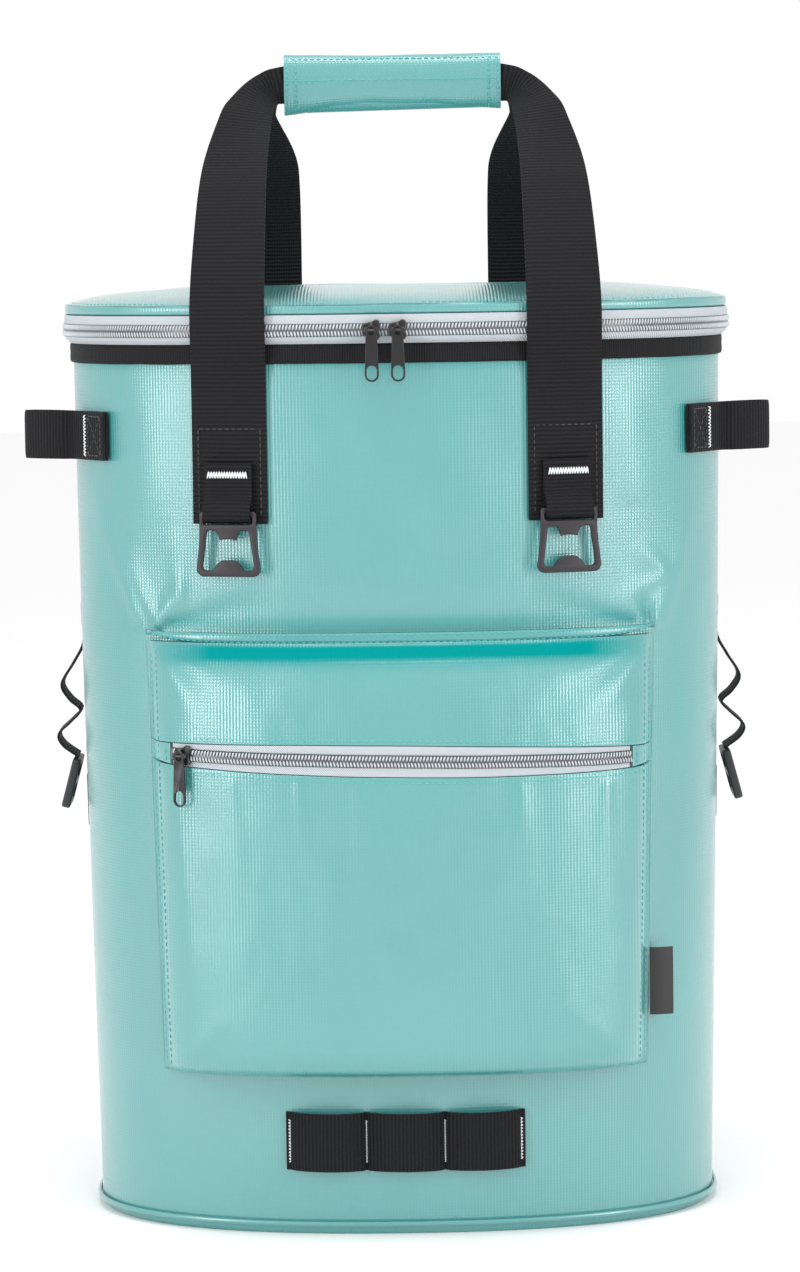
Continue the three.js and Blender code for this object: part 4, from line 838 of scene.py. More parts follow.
def build_body():
    front = even_angles(-math.pi, 0, 0.1, z=223)
    back = even_angles(0, math.pi, 0.1, z=223)

    def pick(rows, count):
        return [rows[round(k * (len(rows) - 1) / count)] for k in range(count)]

    half = front[-1][1]
    columns = [(a, run) for a, run in pick(front, BODY_COLUMNS_FRONT)]
    columns += [(a, half + run) for a, run in pick(back, BODY_COLUMNS_BACK)]
    levels = [0, 0.7, 1.6, 2.6, 4.5, 7, 9] + [12 + (BODY_HEIGHT - 12) * k / BODY_ROWS for k in range(BODY_ROWS + 1)]
    rings, coords = [], []
    for z in levels:
        ring = []
        for angle, run in columns:
            p = plan_point(angle, z)
            if p.y < 0:
                share = min(1, abs(p.y) / (0.4 * HALF_FRONT))
                p = p + Vector((0, -body_relief(p.x, z) * share, 0))
            ring.append(p)
        rings.append(ring)
        # the third value is the front's painted shade
        coords.append([(run, z, body_shade(p.x, z) if p.y < 0 else 0.0) for p, (_, run) in zip(ring, columns)])
    inside = [
        (BODY_HEIGHT, -COLLAR_INSET), (COLLAR_TOP, -COLLAR_INSET), (COLLAR_TOP, -WALL), (BODY_HEIGHT * 0.78, -WALL),
        (BODY_HEIGHT * 0.45, -WALL), (BODY_HEIGHT * 0.2, -WALL), (FLOOR, -WALL),
    ]
    for z, offset in inside:
        ring = []
        for angle, _ in columns:
            p = plan_point(angle, min(z, BODY_HEIGHT), offset)
            ring.append(Vector((p.x, p.y, z)))
        rings.append(ring)
        coords.append([(run, z) for _, run in columns])
    points, faces = loft(rings)
    obj = make("body_skin", points, faces, TARPAULIN, loft_cloth(rings, coords), sharp=60)
    dress(obj, ["body_shell"])

    ring = even_angles(-math.pi, math.pi, 2.6, z=5)
    radius = 1.5
    section = []
    for k in range(10):
        turn = 2 * math.pi * k / 10
        section.append((1.35 + radius * 0.75 * math.cos(turn), 5.5 + radius * math.sin(turn)))
    band("base_welt", section, ring, TARPAULIN_TRIM, ["base_piping"], closed=True)


def build_rim():
    whole = even_angles(-math.pi, math.pi, 1.5)
    foot, head = BODY_HEIGHT + 0.3, BINDING_TOP
    section = [
        (0.0, foot), (1.25, foot), (1.75, foot + 0.7), (1.85, foot + 2.4), (1.7, (foot + head) / 2),
        (1.85, head - 2.4), (1.7, head - 0.7), (1.2, head), (0.0, head),
    ]
    band("binding_cloth", section, whole, BINDING, ["rim_binding"], closed=True, turn=True, wave=0.35)

    start = math.pi / 2 + HINGE_HALF_ANGLE - 2 * math.pi
    end = math.pi / 2 - HINGE_HALF_ANGLE
    part = even_angles(start, end, 2.2)
    low, high = COIL_LOW - 0.3, COIL_HIGH + 0.3
    lower = [
        (0.1, BINDING_TOP), (1.6, BINDING_TOP), (2.9, BINDING_TOP + 1.4), (3.9, (BINDING_TOP + low) / 2 + 0.4),
        (TAPE_BULGE, low), (TAPE_BULGE - 1.2, low), (2.4, (BINDING_TOP + low) / 2), (0.6, BINDING_TOP + 1.4),
    ]
    upper = [
        (TAPE_BULGE - 1.2, high), (TAPE_BULGE, high), (TAPE_BULGE + 0.1, (high + TAPE_TOP) / 2), (LID_OVERHANG + 0.2, TAPE_TOP - 0.3),
        (LID_OVERHANG - 1.2, TAPE_TOP - 0.3), (TAPE_BULGE - 1.2, (high + TAPE_TOP) / 2),
    ]
    band("lid_tape_low", lower, part, ZIP_TAPE_CLOTH, ["lid_zip_tape_lower"])
    band("lid_tape_high", upper, part, ZIP_TAPE_CLOTH, ["lid_zip_tape_upper"])
    core = [
        (TAPE_BULGE - 1.2, COIL_LOW), (TAPE_BULGE + 0.35, COIL_LOW), (TAPE_BULGE + 0.6, COIL_MIDDLE),
        (TAPE_BULGE + 0.35, COIL_HIGH), (TAPE_BULGE - 1.2, COIL_HIGH),
    ]
    band("lid_coil_core", core, part, COIL_CORE)
    hinge = [
        (0.0, BINDING_TOP), (1.9, BINDING_TOP), (2.5, BINDING_TOP + 5), (2.2, TAPE_TOP - 4), (1.8, TAPE_TOP - 0.3),
        (0.0, TAPE_TOP - 0.3),
    ]
    back = even_angles(end, start + 2 * math.pi, 3)
    band("lid_hinge_cloth", hinge, back, TARPAULIN_TRIM, ["lid_hinge"])

    teeth = []
    for angle, _ in even_angles(start + 0.01, end - 0.01, TOOTH_PITCH, TAPE_BULGE):
        p = plan_point(angle, BODY_HEIGHT, TAPE_BULGE + 0.55)
        beyond = plan_point(angle + 0.002, BODY_HEIGHT, TAPE_BULGE + 0.55)
        along = (beyond - p).normalized()
        out = Vector((along.y, -along.x, 0))
        teeth += tooth_pair(Vector((p.x, p.y, COIL_MIDDLE)), along, Vector((0, 0, 1)), out, (COIL_HIGH - COIL_LOW) / 2)
    capsules("lid_coil_teeth", teeth, COIL, ["lid_zip_coil"])


def tooth_pair(centre, along, up, out, half):
    """The two turns of coil that meet at one place, slanting towards each other."""
    lean = TOOTH_PITCH * 0.42
    step = along * (TOOTH_PITCH / 2)
    high = (centre + up * 0.35, centre + up * (half + 0.1) + along * lean, out, TOOTH_RADIUS)
    low = (centre + step - up * 0.35, centre + step - up * (half + 0.1) + along * lean, out, TOOTH_RADIUS)
    return [high, low]


LID_ROWS = [
    (LID_OVERHANG - 0.6, 0.0, 0.0), (LID_OVERHANG, 0.2, 0.0), (LID_OVERHANG + 0.25, 0.55, 0.0), (LID_OVERHANG + 0.1, 0.88, 0.0),
    (LID_OVERHANG - 0.6, 1.0, 0.02), (LID_OVERHANG - 2.0, 1.02, 0.05), (LID_OVERHANG - 4, 0.98, 0.1), (-4, 1.0, 0.25), (-10, 1.0, 0.4),
    (-18, 1.0, 0.55), (-28, 1.0, 0.68), (-42, 1.0, 0.8), (-58, 1.0, 0.92), (-75, 1.0, 0.97), (-92, 1.0, 1.0),
]


def build_lid():
    angles = even_angles(-math.pi, math.pi, 3.0)[:-1]
    rings, coords = [], []
    for out, up, crown in LID_ROWS:
        ring = []
        for angle, run in angles:
            p = plan_point(angle, BODY_HEIGHT, out)
            ripple = 0.45 * noise.noise(Vector((run / 26, 7.7, 0))) if out > 0 else 0.9 * softness(p.x, p.y, 40, 5.5)
            ring.append(Vector((p.x, p.y, TAPE_TOP + up * LID_RIM + crown * LID_CROWN + ripple * min(1, up + crown))))
        rings.append(ring)
        top = crown > 0.01
        coords.append([(p.x, p.y) if top else (run, p.z) for p, (_, run) in zip(ring, angles)])
    points, faces = loft(rings)
    obj = make("lid_skin", points, faces, TARPAULIN, loft_cloth(rings, coords), sharp=70)
    dress(obj, ["lid_panel"])
    seam = []
    for angle, _ in even_angles(-math.pi, math.pi, 3.0):
        p = plan_point(angle, BODY_HEIGHT, LID_OVERHANG - 3.6)
        seam.append((Vector((p.x, p.y, TAPE_TOP + LID_RIM * 0.99 + LID_CROWN * 0.09)), Vector((0, 0, 1))))
    stitch_line("teal", seam)


# Pocket

def pocket_half(z):
    up = (z - POCKET_FOOT) / (POCKET_TOP - POCKET_FOOT)
    return POCKET_FOOT_HALF + (POCKET_TOP_HALF - POCKET_FOOT_HALF) * up


def plain_face_y(x, z):
    wide, front, _ = body_size(z)
    share = max(0, 1 - min(1, abs(x) / wide) ** FRONT_ROUNDNESS) ** (1 / FRONT_ROUNDNESS)
    return -front * share


def pocket_point(share, z, lift=0.0):
    x = share * pocket_half(z)
    up = (z - POCKET_FOOT) / (POCKET_TOP - POCKET_FOOT)
    depth = POCKET_DEPTH * pocket_up(up) * pocket_across(abs(share))
    edge = min(1, (1 - abs(share)) / 0.05) * min(1, max(0, up) / 0.04) * min(1, max(0, 1 - up) / 0.03)
    relief = creases(POCKET_CREASES, x, z, True) + 0.8 * softness(x, z, 30, 1.7) + 0.3 * softness(x, z, 11, 6.1)
    foot = min(plain_face_y(x, z), face_y(x, z))
    return Vector((x, foot - POCKET_GAP - POCKET_WALL - depth - relief * edge - lift, z))


def zip_middle(share):
    return ZIP_MIDDLE - ZIP_LEAN * share - ZIP_SAG * (1 - share ** 2)


def coil_line(offset):
    return lambda share: zip_middle(share) + offset


def tape_line(side, gap=0.0):
    """Edge of the zip's tape, which the cloth draws in at both ends."""
    return lambda share: zip_middle(share) + side * (ZIP_TAPE / 2 * (1 - ZIP_NARROWING * share ** 2) + gap)


def pocket_shade(share, z):
    """Painted shade: the hollow under the hem and the foot of the pocket are painted as out of the light."""
    hollow = min(1, 1.5 * bell(z - 301.5, 3 if z > 301.5 else 6)) * min(1, max(0, (0.97 - abs(share)) / 0.22)) ** 0.7
    foot = 0.45 * bell(z - POCKET_FOOT, 2.5)
    return min(1.0, hollow + foot)


def pocket_grid(columns, low, high, rows, lift=0.0):
    grid, coords = [], []
    for row in rows:
        line = []
        for share in columns:
            bottom, top = low(share), high(share)
            line.append(pocket_point(share, bottom + (top - bottom) * row, lift))
        grid.append(line)
        # the third value is the pocket's painted shade
        coords.append([(p.x * 1.04, p.z, pocket_shade(s, p.z)) for s, p in zip(columns, line)])
    return grid, coords


def spread(start, end, count):
    return [start + (end - start) * k / count for k in range(count + 1)]


def pocket_columns():
    side = [0.9, 0.93, 0.95, 0.965, 0.975, 0.985, 0.992, 1.0]
    return [-s for s in reversed(side)] + spread(-0.88, 0.88, 130) + side


def pocket_normal(share, z):
    a, b = pocket_point(share - 0.01, z), pocket_point(share + 0.01, z)
    low, high = pocket_point(share, z - 1), pocket_point(share, z + 1)
    return (b - a).cross(high - low).normalized()


def sew_pocket(columns, line):
    stitch_line("teal", [(pocket_point(s, line(s)), pocket_normal(s, line(s))) for s in columns])


def patch(name, columns, low, high, rows, thickness, material, nodes=(), lift=0.0):
    grid, coords = pocket_grid(columns, low, high, rows, lift)
    return cloth_sheet(name, grid, coords, thickness, material, nodes)


def build_pocket():
    columns = pocket_columns()
    low_rows = [0, 0.01, 0.02, 0.035, 0.055, 0.08] + spread(0.1, 1, 66)
    high_rows = spread(0, 0.84, 30) + spread(0.86, 1, 12)
    foot, head = (lambda s: POCKET_FOOT), (lambda s: POCKET_TOP - 4.6)
    patch("pocket_front", columns, foot, tape_line(-1, 0.3), low_rows, POCKET_WALL, TARPAULIN, ["pocket_lower_panel"])
    patch("pocket_yoke", columns, tape_line(1, 0.3), head, high_rows, POCKET_WALL, TARPAULIN, ["pocket_upper_panel"])

    hem_rows = spread(0, 1, 6)
    hem_foot, hem_head = POCKET_TOP - 5.6, POCKET_TOP
    grid, coords = [], []
    for row in hem_rows:
        line = []
        for share in columns:
            narrow = max(0.1, 1 - abs(share) ** 10)
            z = hem_head - (hem_head - hem_foot) * (1 - row) * narrow
            x = share * pocket_half(z)
            lift = 4.2 + 0.8 * math.sin(math.pi * row)
            line.append(Vector((x, min(plain_face_y(x, z), face_y(x, z)) - lift, z)))
        grid.append(line)
        # the hem carries a quarter of the painted shade: its colour a little deeper and its gloss a little less
        coords.append([(p.x, p.z, 0.25) for p in line])
    cloth_sheet("pocket_hem", grid, coords, 1.6, TARPAULIN_TRIM)
    for row in (1, 5):
        line = [(p + Vector((0, -0.1, 0)), Vector((0, -1, 0.1))) for p in grid[row]]
        stitch_line("teal", line)

    zip_share = ZIP_HALF / pocket_half(ZIP_MIDDLE)
    zip_columns = spread(-zip_share, zip_share, 110)
    half = ZIP_COIL / 2
    tape_rows = spread(0, 1, 3)
    patch("pocket_tape_high", zip_columns, coil_line(half + 0.3), tape_line(1), tape_rows, 1.1, ZIP_TAPE_CLOTH,
          ["pocket_zip_tape_upper"], -0.2)
    patch("pocket_tape_low", zip_columns, tape_line(-1), coil_line(-half - 0.3), tape_rows, 1.1, ZIP_TAPE_CLOTH,
          ["pocket_zip_tape_lower"], -0.2)
    patch("pocket_coil_core", zip_columns, coil_line(-half), coil_line(half), spread(0, 1, 2), 1.4, COIL_CORE, (), 0.3)
    teeth = []
    share = -zip_share + 0.012
    while share < zip_share - 0.01:
        p = pocket_point(share, zip_middle(share), 0.75)
        beyond = pocket_point(share + 0.004, zip_middle(share + 0.004), 0.75)
        along = (beyond - p).normalized()
        out = along.cross(Vector((0, 0, 1))).normalized()
        teeth += tooth_pair(p, along, Vector((0, 0, 1)), out, half)
        share += TOOTH_PITCH / ((beyond - p).length / 0.004)
    capsules("pocket_coil_teeth", teeth, COIL, ["pocket_zip_coil"])

    for side, word in ((-1, "left"), (1, "right")):
        edge = zip_share + 0.3 / POCKET_TOP_HALF
        shares = sorted(side * s for s in spread(edge, 0.965, 5) + [0.975, 0.985, 0.993, 1.0])
        low = tape_line(-1, -0.1)
        curved = lambda s: low(s) + 1.2 * (abs(s) - edge) / (1 - edge)
        patch("pocket_flap_" + word, shares, curved, tape_line(1), spread(0, 1, 8), POCKET_WALL, TARPAULIN_TRIM,
              ["pocket_zip_end_" + word], 0.25)
        inner = side * (edge + 0.018)
        line = []
        for z in spread(tape_line(-1, -1)(inner), tape_line(1, -1)(inner), 8):
            line.append((pocket_point(inner, z, 0.3), pocket_normal(inner, z)))
        stitch_line("teal", line)
        # painted shade: a thin black strip stands for the dark gap at each end of the zip's slot
        slot = sorted((side * (zip_share - 0.009), side * (zip_share + 0.001)))
        patch("zip_slot_shade_strip_" + word, slot, tape_line(-1), tape_line(1), spread(0, 1, 6), 0.8, BLACK_THREAD_AND_SLOT_SHADE, (), 0.12)

    ends = spread(-0.975, 0.975, 160)
    sew_pocket(ends, tape_line(1, 2.6))
    sew_pocket(ends, tape_line(-1, 2.8))
    for side in (-1, 1):
        for share in (0.962, 0.982):
            line = []
            for z in spread(POCKET_FOOT + 6, POCKET_TOP - 8, 90):
                line.append((pocket_point(side * share, z), pocket_normal(side * share, z)))
            stitch_line("teal", line)


# Sliders and pulls

SLIDER_THICKNESS = 2.6
PIN_FORWARD = SLIDER_THICKNESS / 2 + 0.8 + 0.3 + 0.9 + 0.3


def slider_meshes():
    outline = (
        [(-3.2, 4.6), (-4.9, 3.6), (-5.2, 2.0), (-4.2, 0.6)] + [(-3.6, -2.0), (-3.1, -4.2)]
        + [(-1.6, -4.75), (1.6, -4.75), (3.1, -4.2), (3.6, -2.0)] + [(4.2, 0.6), (5.2, 2.0), (4.9, 3.6), (3.2, 4.6)]
        + [(1.0, 3.9), (-1.0, 3.9)]
    )
    block = plate_mesh([outline], SLIDER_THICKNESS, 0.7)
    pieces = [block]
    for side in (-1, 1):
        ear = rounded_box(-0.2, -1.5, PIN_FORWARD + 1.2, 1.5, 1.1)
        mesh = plate_mesh([ear], 1.2, 0.3)
        mesh.transform(Matrix.Rotation(-math.pi / 2, 4, "Z"))
        mesh.transform(Matrix.Translation(Vector((side * 2.75, 0, 0)) * MM))
        pieces.append(mesh)
    pin = tube_mesh([Vector((x, -PIN_FORWARD, 0)) for x in (-3.6, -1.5, 1.5, 3.6)], 0.8, 12)
    pieces.append(pin)
    bridge = [Vector((0, -1.0 - 2.2 * math.sin(t), 3.4 - 2.4 * (1 - math.cos(t)) / 2)) for t in spread(0, math.pi, 10)]
    pieces.append(tube_mesh(bridge, 0.75, 10))
    return pieces


def pull_meshes(length):
    top, half_top, half_foot = 2.1, 2.6, 3.6
    foot = -length
    outline = arc(0, 0, half_top, 0, 180, 12) + [(-half_top - 0.35, -4), (-half_foot, foot + half_foot + 1)]
    outline += arc(0, foot + half_foot, half_foot, 180, 360, 16) + [(half_foot, foot + half_foot + 1), (half_top + 0.35, -4)]
    eye = rounded_box(-1.45, -2.6, 1.45, 1.2, 1.3, 6)
    hole = rounded_box(-2.55, foot + 1.0, 2.55, foot + 8.2, 2.5, 8)
    return [plate_mesh([outline, eye[::-1], hole[::-1]], 1.6, 0.42)]


def joint_place(name):
    row = next(j for j in frame["record"]["behaviour"]["joints"] if j["name"] == name)
    return Vector(row["pos_m"]), Vector(row["axis"])


def build_sliders():
    for node, pull, joint, body in (
        ("lid_zip_slider_left", "lid_zip_pull_left", "lid_pull_left_swing", "lid_pull_left"),
        ("lid_zip_slider_right", "lid_zip_pull_right", "lid_pull_right_swing", "lid_pull_right"),
        ("pocket_zip_slider", "pocket_zip_pull", "pocket_pull_swing", "pocket_pull"),
    ):
        pivot, axis = joint_place(joint)
        yaw = math.atan2(-axis.y, -axis.x)
        turn = Matrix.Rotation(yaw, 4, "Z")
        back = turn @ Vector((0, PIN_FORWARD * MM, 0))
        flip = Matrix.Rotation(math.pi / 2, 4, "Y")
        length = (pivot.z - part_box(pull)[0].z) / MM
        seat = Matrix.Translation(pivot + back) @ turn
        meshes = slider_meshes()
        meshes[0].transform(flip)
        hard_piece(node + "_body", meshes, seat, ZIP_METAL, [node])
        hard_piece(pull + "_plate", pull_meshes(length), Matrix.Translation(pivot) @ turn, ZIP_METAL, [pull], body)


# Carry handle

FRONT_ROUTE = [(0, 0, 0, 0), (0.16, 0.02, 0.03, 0.03), (0.38, 0.06, 0.08, 0.13), (0.58, 0.1, 0.12, 0.28), (0.74, 0.16, 0.17, 0.47)]
BACK_ROUTE = [(0, 0, 0, 0), (0.16, 0, -0.02, 0.03), (0.38, 0.02, -0.06, 0.13), (0.58, 0.05, -0.08, 0.28), (0.74, 0.12, 0.02, 0.47)]
GRIP_LOW, GRIP_HIGH = node_box("handle_grip")
GRIP_HALF = GRIP_HIGH.x
GRIP_Z = (GRIP_LOW.z + GRIP_HIGH.z) / 2
GRIP_DEEP = GRIP_HIGH.y
GRIP_TALL = (GRIP_HIGH.z - GRIP_LOW.z) / 2


# Turn into the grip, as shares of the webbing's width: the outer edge's way out, behind the middle
# and up, the inner edge's, and how far the turn is rounded
CORNER_ROUTE = [
    (0.816, 0.868, -0.053, 0.145, 0.711, -0.158, 0.18),
    (0.526, 0.421, 0.289, 0.118, 0.342, -0.026, 0.5),
    (0.237, 0.158, 0.461, 0.092, 0.132, 0.0, 0.22),
]


def handle_stations(centre, back, route):
    side = 1 if back else -1
    outer_x, inner_x = -centre - WEBBING_WIDTH / 2, -centre + WEBBING_WIDTH / 2
    seat = STRAP_LIFT + WEBBING / 2

    def on_body(x, z, lift):
        return Vector((x, face_y(x, min(z, BODY_HEIGHT), back) + side * lift, z))

    foot = BACK_STRAP_FOOT if back else STRAP_FOOT
    stations = []
    for share, lift in ((0, seat), (0.2, seat), (0.45, seat), (0.65, seat), (0.85, seat), (0.98, seat + 1.6)):
        z = foot + (BODY_HEIGHT - foot) * share
        stations.append([on_body(outer_x, z, lift), on_body(inner_x, z, lift)])
    proud = seat + TAPE_BULGE + 2.2
    stations.append([on_body(outer_x, COIL_MIDDLE, proud), on_body(inner_x, COIL_MIDDLE, proud)])
    lid_top = TAPE_TOP + LID_RIM
    start = [on_body(outer_x, lid_top, proud - 0.2), on_body(inner_x, lid_top, proud - 0.2)]
    grip_end = -GRIP_HALF
    folded = 10
    grip_y = side * (GRIP_DEEP - 1.8 - 0.45 - WEBBING / 2)
    grip_foot, top = GRIP_Z - folded, GRIP_Z + folded
    for up, outer, inner, behind in route:
        z = lid_top + up * (grip_foot - lid_top)
        a, b = start[0].copy(), start[1].copy()
        a.x += (grip_end - outer_x) * outer
        b.x += (grip_end - inner_x) * inner
        a.y += (grip_y - a.y) * behind
        b.y += (grip_y - b.y) * behind
        a.z = b.z = z
        stations.append([a, b])
    w = WEBBING_WIDTH
    for out_x, out_y, out_up, in_x, in_y, in_up, turn in CORNER_ROUTE:
        outer = Vector((grip_end - out_x * w, side * out_y * w, grip_foot + out_up * w))
        inner = Vector((grip_end - in_x * w, side * in_y * w, grip_foot + in_up * w))
        stations.append([outer, inner, turn])
    stations.append([Vector((grip_end + 3, grip_y, top)), Vector((grip_end + 3, grip_y, grip_foot))])
    stations.append([Vector((-GRIP_HALF / 3, grip_y, top)), Vector((-GRIP_HALF / 3, grip_y, grip_foot))])
    mirrored = []
    for a, b, *turn in reversed(stations):
        mirrored.append([Vector((-a.x, a.y, a.z)), Vector((-b.x, b.y, b.z)), *turn])
    return stations + mirrored


def build_handle():
    webbing("strap_front", handle_stations(STRAP_CENTRE, False, FRONT_ROUTE), WEBBING, STRAP_WEBBING, ["handle_strap_front"], smooth=False)
    webbing("strap_back", handle_stations(BACK_STRAP_CENTRE, True, BACK_ROUTE), WEBBING, STRAP_WEBBING, ["handle_strap_back"], smooth=False)
    sides = 48
    wall = 1.8
    rings, coords = [], []
    steps = 60
    for k in range(steps + 1):
        x = -GRIP_HALF + 2 * GRIP_HALF * k / steps
        sag = 2.2 * (1 - (x / GRIP_HALF) ** 2) - 2.4 * bell(x + GRIP_HALF, 22)
        ring, inner, here = [], [], []
        for j in range(sides):
            turn = 2 * math.pi * j / sides
            c, s = math.cos(turn), math.sin(turn)
            tall = GRIP_TALL - (sag if s < 0 else sag * 0.2)
            y = GRIP_DEEP * math.copysign(abs(c) ** 0.75, c)
            z = tall * math.copysign(abs(s) ** 0.75, s)
            flap = 0.9 if (c < 0 and s > -0.05) or (s > 0.6) else 0.0
            wrinkle = 0.35 * noise.noise(Vector((x / 14, turn * 1.4, 2.2)))
            grow = 1 + (flap - 0.9 + wrinkle) / GRIP_TALL
            ring.append(Vector((x, y * grow, GRIP_Z + z * grow)))
            shrink = 1 - wall / GRIP_DEEP
            inner.append(Vector((x, y * shrink, GRIP_Z + z * (1 - wall / GRIP_TALL))))
            here.append((x, j * 1.7))
        rings.append(ring)
        coords.append(here)
        if k == 0:
            first_inner = inner
        if k == steps:
            last_inner = inner
    rings = [first_inner] + rings + [last_inner]
    coords = [coords[0]] + coords + [coords[-1]]
    points, faces = loft(rings, closed=True)
    obj = make("grip_wrap", points, faces, TARPAULIN, loft_cloth(rings, coords, True), sharp=50)
    dress(obj, ["handle_grip"])
    front = lambda x, z: Vector((x, -GRIP_DEEP * (1 - min(1, abs(z) / GRIP_TALL) ** 2.67) ** 0.375 - 0.1, GRIP_Z + z))
    for x in (GRIP_HALF - 1.6, GRIP_HALF - 6.2):
        for side in (-1, 1):
            line = [(front(side * x, z), Vector((0, -1, 0))) for z in spread(-GRIP_TALL * 0.9, GRIP_TALL * 0.9, 12)]
            stitch_line("teal", line, 2.2)
    for z in (GRIP_TALL * 0.84, 1.6):
        stitch_line("teal", [(front(x, z), Vector((0, -1, 0.3 if z > 2 else 0))) for x in spread(-GRIP_HALF, GRIP_HALF, 40)], 2.4)


# Bottle openers

OPENER_WIDTH = 34
OPENER_TOP_WIDTH = 30
OPENER_HEIGHT = 33
OPENER_THICKNESS = 2.4
OPENER_BAR = 3
OPENER_SLOT = 3.4
OPENER_BORDER = 3.2
LOOP_WIDTH = 25
LOOP_THICKNESS = 1.4
LOOP_LENGTH = 26
LOOP_REACH = math.hypot(OPENER_BAR / 2, OPENER_THICKNESS / 2) + 0.4


def opener_loops():
    top = OPENER_BAR / 2
    foot = top - OPENER_HEIGHT
    half_top, half = OPENER_TOP_WIDTH / 2, OPENER_WIDTH / 2
    shoulder = top - OPENER_BAR - OPENER_SLOT - 2
    corner = 4
    outline = arc(half_top - 1.6, top - 1.6, 1.6, 0, 90, 6) + arc(-half_top + 1.6, top - 1.6, 1.6, 90, 180, 6)
    outline += curve((-half_top, shoulder), (-half_top - 0.1, shoulder - 8), (-half, foot + corner), 8)
    outline += arc(-half + corner, foot + corner, corner, 180, 270, 10) + arc(half - corner, foot + corner, corner, 270, 360, 10)
    outline += curve((half, foot + corner), (half_top + 0.1, shoulder - 8), (half_top, shoulder), 8)
    slot_half = LOOP_WIDTH / 2 + 0.6
    slot_top = top - OPENER_BAR
    slot = rounded_box(-slot_half, slot_top - OPENER_SLOT, slot_half, slot_top, 1.2)
    window_top = slot_top - OPENER_SLOT - OPENER_BORDER
    window_foot = foot + OPENER_BORDER
    top_half = half_top - OPENER_BORDER - 0.6
    foot_half = half - OPENER_BORDER - 0.2
    tooth = OPENER_WIDTH * 0.13
    drop = OPENER_HEIGHT * 0.15
    opening = [(top_half - 1.5, window_top)]
    opening += curve((tooth * 1.55, window_top), (tooth * 1.15, window_top - drop * 0.3), (tooth, window_top - drop), 5)
    opening += curve((tooth, window_top - drop), (0, window_top - drop * 0.75), (-tooth, window_top - drop), 5)
    opening += curve((-tooth, window_top - drop), (-tooth * 1.15, window_top - drop * 0.3), (-tooth * 1.55, window_top), 5)
    opening += curve((-top_half + 1.5, window_top), (-top_half - 0.2, window_top), (-top_half - 0.3, window_top - 2), 4)
    opening += arc(-foot_half + 2.2, window_foot + 2.2, 2.2, 180, 270, 6)
    hump = OPENER_HEIGHT * 0.19
    opening += curve((-foot_half * 0.62, window_foot), (-foot_half * 0.35, window_foot + hump), (0, window_foot + hump * 0.82), 8)
    opening += curve((0, window_foot + hump * 0.82), (foot_half * 0.35, window_foot + hump), (foot_half * 0.62, window_foot), 8)
    opening += arc(foot_half - 2.2, window_foot + 2.2, 2.2, 270, 360, 6)
    opening += curve((top_half + 0.3, window_top - 2), (top_half + 0.2, window_top), (top_half - 1.5, window_top), 4)
    return [outline, slot[::-1], opening]


def sew_strap_foot(side):
    """Black seam that closes the folded end of a handle strap."""
    half, top = WEBBING_WIDTH / 2 - 3.2, STRAP_FOOT + 48
    seat = STRAP_LIFT + WEBBING
    centre = side * STRAP_CENTRE

    def on_strap(x, z):
        left, right = (face_y(centre + s * WEBBING_WIDTH / 2, z) for s in (-1, 1))
        share = (x - centre) / WEBBING_WIDTH + 0.5
        return Vector((x, left + (right - left) * share - seat - 0.05, z))

    out = front_slope(centre, top)
    for x in (centre - half, centre + half):
        stitch_line("black", [(on_strap(x, z), out) for z in spread(STRAP_FOOT + 4, top, 12)])
    stitch_line("black", [(on_strap(x, top), out) for x in spread(centre - half, centre + half, 6)])


def build_openers():
    for word, side in (("left", -1), ("right", 1)):
        pivot, axis = joint_place("opener_%s_swing" % word)
        yaw = math.atan2(-axis.y, -axis.x)
        place = Matrix.Translation(pivot) @ Matrix.Rotation(yaw, 4, "Z")
        mesh = plate_mesh(opener_loops(), OPENER_THICKNESS, 0.75)
        hard_piece("opener_plate_" + word, [mesh], place, OPENER_METAL, ["opener_" + word], "bottle_opener_" + word)

        reach = LOOP_REACH + LOOP_THICKNESS / 2
        path = [(reach, LOOP_LENGTH), (reach, LOOP_LENGTH * 0.6), (reach, LOOP_LENGTH * 0.3), (reach, 0)]
        path += [(reach * math.cos(t), -reach * math.sin(t)) for t in spread(0.3, math.pi - 0.3, 7)]
        inner = reach - LOOP_THICKNESS - 0.3
        path += [(-reach, 0.4), (-reach * 0.55, 4.5), (inner * 0.6, 8.5), (inner, 11.5), (inner, LOOP_LENGTH * 0.7), (inner, LOOP_LENGTH - 0.4)]
        half = LOOP_WIDTH / 2
        to_world = place
        stations = []
        for y, z in path:
            pair = [to_world @ (Vector((x, y, z)) * MM) / MM for x in (-half, half)]
            stations.append(pair)
        webbing("opener_webbing_" + word, stations, LOOP_THICKNESS, LOOP_WEBBING, ["opener_loop_" + word], spacing=1.5)
        out = Matrix.Rotation(yaw, 3, "Z") @ Vector((0, -1, 0))
        along = Matrix.Rotation(yaw, 3, "Z") @ Vector((1, 0, 0))
        tack = to_world @ (Vector((0, reach - 2 * LOOP_THICKNESS - 0.5, LOOP_LENGTH - 6)) * MM) / MM
        bartack("white", tack, along, Vector((0, 0, 1)), out, 21, 3.6, 15)
        sew_strap_foot(side)


# Side tabs, daisy chain, label

